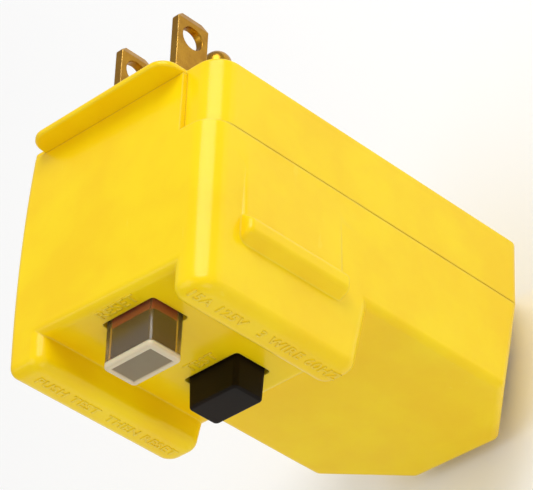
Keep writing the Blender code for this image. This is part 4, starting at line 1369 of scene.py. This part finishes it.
class GeometryRecipe:
    """A geometry node tree with named inputs, turned into plain meshes."""

    def __init__(self, name: str, inputs: Mapping[str, float | tuple[float, float, float]]) -> None:
        """Make the tree, its named inputs and its group nodes."""
        self.name = name
        self.tree = bpy.data.node_groups.new(name, "GeometryNodeTree")
        interface = self.tree.interface
        interface.new_socket("Geometry", in_out="INPUT", socket_type="NodeSocketGeometry")
        interface.new_socket("Geometry", in_out="OUTPUT", socket_type="NodeSocketGeometry")
        self.sockets: dict[str, str] = {}
        for label, value in inputs.items():
            kind = "NodeSocketVector" if isinstance(value, tuple) else "NodeSocketFloat"
            socket = interface.new_socket(label, in_out="INPUT", socket_type=kind)
            socket.default_value = value
            self.sockets[label] = socket.identifier
        self.entry = self.tree.nodes.new("NodeGroupInput")
        self.exit = self.tree.nodes.new("NodeGroupOutput")

    def add(
        self,
        kind: str,
        sockets: Mapping[str | int, object] | None = None,
        settings: Mapping[str, object] | None = None,
    ) -> bpy.types.Node:
        """Add a node; a socket's value may be a number, an output socket or the name of an input."""
        node = self.tree.nodes.new(kind)
        for key, value in (settings or {}).items():
            setattr(node, key, value)
        for key, value in (sockets or {}).items():
            if isinstance(value, str):
                self.tree.links.new(self.entry.outputs[value], node.inputs[key])
            elif isinstance(value, bpy.types.NodeSocket):
                self.tree.links.new(value, node.inputs[key])
            else:
                node.inputs[key].default_value = value
        return node

    def coil(self, spiral: Mapping[str, object], profile: Mapping[str, object]) -> bpy.types.NodeSocket:
        """Wire of a round profile wound along a spiral."""
        path = self.add("GeometryNodeCurveSpiral", spiral)
        ring = self.add("GeometryNodeCurvePrimitiveCircle", profile)
        swept = {"Curve": path.outputs[0], "Profile Curve": ring.outputs[0], "Fill Caps": True}
        return self.add("GeometryNodeCurveToMesh", swept).outputs[0]

    def close(self, shape: bpy.types.NodeSocket, turn: tuple[float, float, float], finish: Finish) -> None:
        """Turn the shape, put it on every point, give it its material and end the tree."""
        laid = self.add("GeometryNodeTransform", {"Geometry": shape, "Rotation": turn})
        points = self.add("GeometryNodeMeshToPoints", {"Mesh": self.entry.outputs["Geometry"]})
        copies = {"Points": points.outputs[0], "Instance": laid.outputs[0]}
        placed = self.add("GeometryNodeInstanceOnPoints", copies)
        whole = self.add("GeometryNodeRealizeInstances", {"Geometry": placed.outputs[0]})
        smooth = self.add("GeometryNodeSetShadeSmooth", {"Geometry": whole.outputs[0], "Shade Smooth": True})
        dressed = self.add("GeometryNodeSetMaterial",
                           {"Geometry": smooth.outputs[0], "Material": finish.material()})
        self.tree.links.new(dressed.outputs[0], self.exit.inputs[0])

    def cast(
        self, name: str, seeds: Sequence[Vector], values: Mapping[str, float | tuple[float, float, float]]
    ) -> bpy.types.Object:
        """Run the tree on a few points and keep the plain result.

        Args:
            name: Name of the piece.
            seeds: Points that the tree starts from, in millimetres.
            values: A value for each named input to change.

        Returns:
            The finished mesh object.
        """
        data = bpy.data.meshes.new(name)
        data.from_pydata([tuple(seed * MM) for seed in seeds], [], [])
        thing = add_object(name, data)
        modifier = thing.modifiers.new(self.name, "NODES")
        modifier.node_group = self.tree
        for label, value in values.items():
            modifier[self.sockets[label]] = value
        return baked(thing)


class Drive(Enum):
    """Shape of a screw's drive."""

    CROSS = 2
    SLOT = 1


@dataclass
class ScrewSet:
    """Screws of one size whose heads face the outlet side."""

    name: str
    nodes: tuple[str, ...]
    head_radius: float
    head_height: float
    shank_radius: float
    drive: Drive
    drive_width: float
    finish: Finish
    slot: str
    thread_pitch: float = 0.9
    thread_wire: float = 0.16
    threaded: float = 0.62  # share of the shank that carries thread
    point_length: float = 0.3
    crown: float = 0.86  # radius of the head's top as a share of its foot

    def _recipe(self, length: float) -> GeometryRecipe:
        """Tree that makes one screw and puts it on every point."""
        values = {"Head Radius": self.head_radius * MM, "Head Height": self.head_height * MM,
                  "Shank Radius": self.shank_radius * MM, "Shank Length": length * MM,
                  "Drive Width": self.drive_width * MM}
        recipe = GeometryRecipe(self.name, values)
        cone = {"Vertices": 40, "Side Segments": 1, "Radius Bottom": "Head Radius", "Depth": "Head Height"}
        head = recipe.add("GeometryNodeMeshCone", cone, {"fill_type": "NGON"})
        crown = recipe.add("ShaderNodeMath", {0: "Head Radius", 1: self.crown}, {"operation": "MULTIPLY"})
        recipe.tree.links.new(crown.outputs[0], head.inputs["Radius Top"])
        rod = {"Vertices": 24, "Radius": "Shank Radius", "Depth": "Shank Length"}
        shank = recipe.add("GeometryNodeMeshCylinder", rod, {"fill_type": "NGON"})
        half = recipe.add("ShaderNodeMath", {0: "Shank Length", 1: -0.5}, {"operation": "MULTIPLY"})
        down = recipe.add("ShaderNodeCombineXYZ", {"Z": half.outputs[0]})
        lowered = recipe.add("GeometryNodeTransform",
                             {"Geometry": shank.outputs[0], "Translation": down.outputs[0]})
        thread = self._thread(recipe, length)
        cutters = [self._bar(recipe, turn) for turn in range(self.drive.value)]
        carved = recipe.add("GeometryNodeMeshBoolean", {"Mesh 1": head.outputs[0]},
                            {"operation": "DIFFERENCE"})
        for cutter in cutters:
            recipe.tree.links.new(cutter, carved.inputs["Mesh 2"])
        screw = recipe.add("GeometryNodeJoinGeometry")
        for part in (carved.outputs[0], lowered.outputs[0], thread):
            recipe.tree.links.new(part, screw.inputs[0])
        recipe.close(screw.outputs[0], (-math.pi / 2, 0.0, 0.0), self.finish)
        return recipe

    def _thread(self, recipe: GeometryRecipe, length: float) -> bpy.types.NodeSocket:
        """Raised thread wound around the front two thirds of the shank."""
        run = length * self.threaded
        spiral = {"Resolution": 16, "Rotations": run / self.thread_pitch, "Start Radius": "Shank Radius",
                  "End Radius": "Shank Radius", "Height": run * MM}
        wire = recipe.coil(spiral, {"Resolution": 5, "Radius": self.thread_wire * MM})
        drop = (0.0, 0.0, -(length - self.point_length) * MM)
        return recipe.add("GeometryNodeTransform", {"Geometry": wire, "Translation": drop}).outputs[0]

    def _bar(self, recipe: GeometryRecipe, turn: int) -> bpy.types.NodeSocket:
        """One bar of the drive, as a cutter that bites into the head's top."""
        reach = self.head_radius * (1.3 if self.drive is Drive.CROSS else 2.4) * MM
        size = recipe.add("ShaderNodeCombineXYZ",
                          {"X": reach, "Y": "Drive Width", "Z": self.head_height * MM})
        bar = recipe.add("GeometryNodeMeshCube", {"Size": size.outputs[0]})
        lift = (0.0, 0.0, self.head_height * 0.95 * MM)
        moved = {"Geometry": bar.outputs[0], "Translation": lift,
                 "Rotation": (0.0, 0.0, math.pi / 2 * turn + 0.4)}
        return recipe.add("GeometryNodeTransform", moved).outputs[0]

    def build(self) -> None:
        """Cast the screws and mount them in place of their CAD nodes."""
        low, high = span(self.nodes[0])
        length = high.y - low.y - self.head_height
        seeds = [Vector((middle(node).x, high.y - self.head_height, middle(node).z)) for node in self.nodes]
        screws = self._recipe(length).cast(self.name, seeds, {"Head Radius": self.head_radius * MM})
        polish(screws, self.name, self.finish, 35)
        mount_piece(screws, "base", self.nodes)


@dataclass
class Spring:
    """Round-wire compression spring."""

    node: str
    axis: Axis
    wire: float
    turns: float
    joint: str
    fixed_high: bool
    travel: float

    def build(self) -> None:
        """Cast the spring from a spiral and mount it."""
        low, high = span(self.node)
        along = 0 if self.axis is Axis.X else 1
        length = high[along] - low[along]
        across = high.z - low.z
        values = {"Coil Radius": (across / 2 - self.wire) * MM, "Wire Radius": self.wire * MM,
                  "Length": (length - 2 * self.wire) * MM, "Turns": self.turns}
        recipe = GeometryRecipe(f"{self.node}_wire", values)
        spiral = {"Resolution": 32, "Rotations": "Turns", "Start Radius": "Coil Radius",
                  "End Radius": "Coil Radius", "Height": "Length"}
        wire = recipe.coil(spiral, {"Resolution": 12, "Radius": "Wire Radius"})
        turn = (0.0, math.pi / 2, 0.0) if self.axis is Axis.X else (-math.pi / 2, 0.0, 0.0)
        recipe.close(wire, turn, PLATED_STEEL)
        seed = (low + high) / 2
        seed[along] = low[along] + self.wire
        spring = recipe.cast(f"{self.node}_coil", [seed], {"Turns": self.turns})
        polish(spring, f"{self.node}_coil", PLATED_STEEL, 60)
        mount_piece(spring, "base", [self.node])
        anchor = Vector(((low + high) / 2) * MM)
        anchor[along] = (high if self.fixed_high else low)[along] * MM
        direction = Vector((0.0, 0.0, 0.0))
        direction[along] = 1.0
        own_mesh(spring)


@dataclass
class TestLeaf:
    """Bent contact strip that the test key's stem presses toward its post."""

    thickness: float = 0.5
    bend: float = 1.1
    travel: float = 2.5

    def build(self) -> None:
        """Model the strip and mount it."""
        low, high = span("test_leaf")
        t = self.thickness
        corners = ((low.x, low.y), (high.x, low.y), (high.x, high.y), (high.x - t, high.y),
                   (high.x - t, low.y + t), (low.x, low.y + t))
        outline = Outline(corners, (0.0, self.bend, 0.0, 0.0, self.bend - t, 0.0), 6)
        leaf = plate("test_strip", Axis.Z, outline, (low.z, high.z))
        polish(leaf, "test_strip", COPPER)
        mount_piece(leaf, "base", ["test_leaf"])
        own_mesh(leaf)


@dataclass
class Grommet:
    """Rubber sleeve in the cord opening, with a rounded collar outside."""

    node: str = "cord_grommet"
    bore: float = 4.2
    neck: float = 5.3
    collar: float = 7.3
    inner_collar: float = 6.6
    collar_round: float = 0.75
    cord_y: float = -15.0

    def build(self) -> None:
        """Model the sleeve and mount it."""
        low, high = span(self.node)
        profile = [(low.z, self.collar - self.collar_round)]
        for step in range(1, 9):
            angle = math.pi / 2 * step / 8
            radius = self.collar - self.collar_round + self.collar_round * math.sin(angle)
            profile.append((low.z + 0.35 * (1 - math.cos(angle)), radius))
        profile += [(low.z + 0.62, self.collar), (low.z + 0.65, self.neck), (high.z - 1.2, self.neck),
                    (high.z - 1.1, self.inner_collar), (high.z - 0.3, self.inner_collar),
                    (high.z, self.inner_collar - 0.3)]
        sleeve = turned("cord_sleeve", Axis.Z, (0.0, self.cord_y), profile, 64)
        bore = [(low.z - 1.0, self.bore + 1.0), (low.z, self.bore + 0.5), (low.z + 0.5, self.bore),
                (high.z + 1, self.bore)]
        cut(sleeve, turned("bore", Axis.Z, (0.0, self.cord_y), bore, 64))
        polish(sleeve, "cord_sleeve", RUBBER)
        mount_piece(sleeve, "base", [self.node])


# --- Raised lettering -------------------------------------------------------------------------------------


@dataclass
class Lettering:
    """One line of raised generic wording on a face that looks toward -Y."""

    name: str
    words: str
    height: float
    centre: Vector
    reading: Vector
    relief: float = 0.11
    spacing: float = 1.12
    edge: float = 0.03

    def build(self) -> None:
        """Model the letters, lay them on the face and mount them."""
        curve = bpy.data.curves.new(self.name, "FONT")
        curve.body = self.words
        curve.align_x = "CENTER"
        curve.align_y = "CENTER"
        curve.size = self.height * MM / CAPITAL_HEIGHT
        curve.space_character = self.spacing
        curve.extrude = self.relief * MM
        curve.bevel_depth = self.edge * MM
        curve.bevel_resolution = 1
        curve.resolution_u = 4
        thing = add_object(self.name, curve)
        bpy.context.view_layer.update()
        data = bpy.data.meshes.new_from_object(thing.evaluated_get(bpy.context.evaluated_depsgraph_get()))
        bpy.data.objects.remove(thing, do_unlink=True)
        normal = Vector((0.0, -1.0, 0.0))
        upward = normal.cross(self.reading)
        turn = Matrix((self.reading, upward, normal)).transposed().to_4x4()
        data.transform(Matrix.Translation(self.centre * MM) @ turn)
        mesh = bmesh.new()
        mesh.from_mesh(data)
        bmesh.ops.remove_doubles(mesh, verts=mesh.verts, dist=0.002 * MM)
        bmesh.ops.recalc_face_normals(mesh, faces=mesh.faces)
        mesh.to_mesh(data)
        mesh.free()
        letters = add_object(self.name, data)
        polish(letters, self.name, YELLOW, 30)
        mount_piece(letters, "base")


# --- Studio -----------------------------------------------------------------------------------------------


@dataclass(frozen=True)
class Viewpoint:
    """Camera place given by what it looks at and from where."""

    target: Vector
    distance: float
    azimuth: float
    elevation: float
    roll: float
    lens: float

    def build(self) -> None:
        """Make the camera and set it as the scene's."""
        a, e = math.radians(self.azimuth), math.radians(self.elevation)
        back = Vector((math.sin(a) * math.cos(e), -math.cos(a) * math.cos(e), math.sin(e)))
        right = Vector((math.cos(a), math.sin(a), 0.0))
        level = Matrix((right, back.cross(right), back)).transposed()
        data = bpy.data.cameras.new("camera")
        data.lens = self.lens
        data.clip_start, data.clip_end = 0.01, 20.0
        camera = add_object("camera", data)
        turn = level @ Matrix.Rotation(math.radians(self.roll), 3, "Z")
        camera.matrix_world = Matrix.Translation(self.target + back * self.distance) @ turn.to_4x4()
        bpy.context.scene.camera = camera


@dataclass(frozen=True)
class Softbox:
    """Large square lamp that looks at the object."""

    name: str
    direction: Vector
    distance: float
    size: float
    power: float
    colour: Colour = (1.0, 1.0, 1.0)

    def build(self, target: Vector) -> None:
        """Place the lamp and aim it."""
        data = bpy.data.lights.new(self.name, "AREA")
        data.size = self.size
        data.energy = self.power
        data.color = self.colour
        lamp = add_object(self.name, data)
        lamp.location = target + self.direction.normalized() * self.distance
        lamp.rotation_euler = (lamp.location - target).to_track_quat("Z", "Y").to_euler()


@dataclass(frozen=True)
class Studio:
    """Pale floor, even surround and soft lamps."""

    floor_z: float
    surround: float
    lamps: tuple[Softbox, ...]
    floor_colour: Colour = (0.94, 0.94, 0.94)
    reach: float = 6.0

    def build(self, target: Vector) -> None:
        """Make the floor, the surround and the lamps."""
        world = bpy.data.worlds.new("surround")
        world.use_nodes = True
        backdrop = world.node_tree.nodes["Background"]
        backdrop.inputs["Color"].default_value = (1.0, 1.0, 1.0, 1.0)
        backdrop.inputs["Strength"].default_value = self.surround
        bpy.context.scene.world = world
        bpy.context.scene.view_settings.view_transform = "Standard"
        mesh = bmesh.new()
        bmesh.ops.create_grid(mesh, x_segments=1, y_segments=1, size=self.reach)
        data = bpy.data.meshes.new("floor")
        mesh.to_mesh(data)
        mesh.free()
        sheet = NodeSheet("floor_paper")
        fibre = sheet.noise(sheet.object_place(), 40.0)
        paper = sheet.surface({"Base Color": (*self.floor_colour, 1.0), "Roughness": 0.85 + fibre * 0.1})
        data.materials.append(paper)
        floor = add_object("floor", data)
        floor.location.z = self.floor_z
        floor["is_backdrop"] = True
        for lamp in self.lamps:
            lamp.build(target)


# --- Whole object -----------------------------------------------------------------------------------------


def dress_cad_nodes(frame: Mapping[str, object]) -> None:
    """Give every CAD node the finish of its material slot."""
    for part in frame["record"]["subparts"]:
        node = frame["nodes"][part["node"]]
        node.data.materials.clear()
        finish = WIRE_COPPER if part["node"] == "solenoid_coil" else SLOT_FINISHES[part["material_slot"]]
        node.data.materials.append(finish.material())


def build_keys(envelope: Envelope) -> None:
    """Both push keys."""
    reset = Key("reset_button", tip=(10.2, 6.4), skirt=(12.4, 8.4), floor_y=envelope.floor_y, dish=0.22)
    ResetKey(reset).build()
    test = Key("test_button", tip=(10.1, 6.0), skirt=(12.4, 7.8), floor_y=envelope.floor_y, end_roll=0.45)
    TestKey(test).build()


def build_hardware() -> None:
    """Screws, springs, the test strip and the cord sleeve."""
    cover = tuple(f"cover_screw_{number}" for number in range(1, 5))
    ScrewSet(
        "cover_screws", cover, head_radius=2.2, head_height=1.7, shank_radius=1.1, drive=Drive.CROSS,
        drive_width=0.55, finish=PLATED_STEEL, slot="steel",
    ).build()
    clamp = ("clamp_screw_1", "clamp_screw_2")
    ScrewSet(
        "clamp_screws", clamp, head_radius=1.8, head_height=1.5, shank_radius=1.05, drive=Drive.SLOT,
        drive_width=0.5, finish=PLATED_STEEL, slot="steel",
    ).build()
    terminal = ("terminal_screw_line", "terminal_screw_neutral", "terminal_screw_ground")
    ScrewSet(
        "terminal_screws", terminal, head_radius=2.9, head_height=1.8, shank_radius=1.3, drive=Drive.SLOT,
        drive_width=0.6, finish=BRASS, slot="brass",
    ).build()
    Spring("reset_spring", Axis.Y, wire=0.25, turns=3.5, joint="reset_press", fixed_high=True,
           travel=3.0).build()
    Spring("test_spring", Axis.Y, wire=0.25, turns=4.5, joint="test_press", fixed_high=True,
           travel=2.5).build()
    Spring("plunger_spring", Axis.X, wire=0.2, turns=3.5, joint="trip_slide", fixed_high=False,
           travel=2.0).build()
    Spring("carriage_spring", Axis.Y, wire=0.2, turns=2.5, joint="contact_close", fixed_high=False,
           travel=1.2).build()
    TestLeaf().build()
    Grommet().build()


def build_lettering(envelope: Envelope) -> None:
    """Key names in the channel and generic wording on both ridges."""
    floor, ridge = envelope.floor_y, envelope.ridge_y
    across, along = Vector((1.0, 0.0, 0.0)), Vector((0.0, 0.0, -1.0))
    Lettering("reset_word", "RESET", 1.9, Vector((0.3, floor, 5.5)), across).build()
    Lettering("test_word", "TEST", 1.8, Vector((-1.1, floor, -12.9)), across).build()
    Lettering("near_ridge_wording", "15A 125V   3 WIRE 60HZ", 1.75, Vector((16.6, ridge, -8.6)),
              along).build()
    Lettering("far_ridge_wording", "PUSH TEST  THEN RESET", 1.6, Vector((-16.6, ridge, -8.6)), along).build()


def half_width() -> float:
    """Half the width of the cover, in millimetres."""
    low, high = span("prong_cover")
    return (high.x - low.x) / 2


def main() -> None:
    """Build the whole plug head on the frame, then the studio and the camera."""
    logging.basicConfig(level=logging.INFO, format="%(message)s")
    for thing in list(bpy.data.objects):
        bpy.data.objects.remove(thing, do_unlink=True)
    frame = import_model()
    cad_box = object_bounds()
    dress_cad_nodes(frame)
    ridge_y = span("button_housing")[0].y
    envelope = Envelope(half_width(), ridge_y, span("prong_cover")[0].z)
    FrontShell(envelope).build()
    RearShell(envelope).build()
    Prongs().build()
    build_keys(envelope)
    build_hardware()
    build_lettering(envelope)
    target = Vector((0.0052, -0.0148, -0.0193))
    Viewpoint(target, distance=0.48, azimuth=45.7, elevation=34.5, roll=-58.7, lens=212.5).build()
    lamps = (
        Softbox("overhead", Vector((0.45, 0.6, 0.65)), distance=0.7, size=0.45, power=2.9),
        Softbox("top_fill", Vector((-0.3, -0.3, 1.0)), distance=1.1, size=0.8, power=3.0),
        Softbox("front_fill", Vector((0.7, -1.0, 0.2)), distance=1.4, size=0.9, power=4.0),
    )
    Studio(floor_z=cad_box[0].z, surround=0.5, lamps=lamps).build(target)


if __name__ == "__main__":
    main()
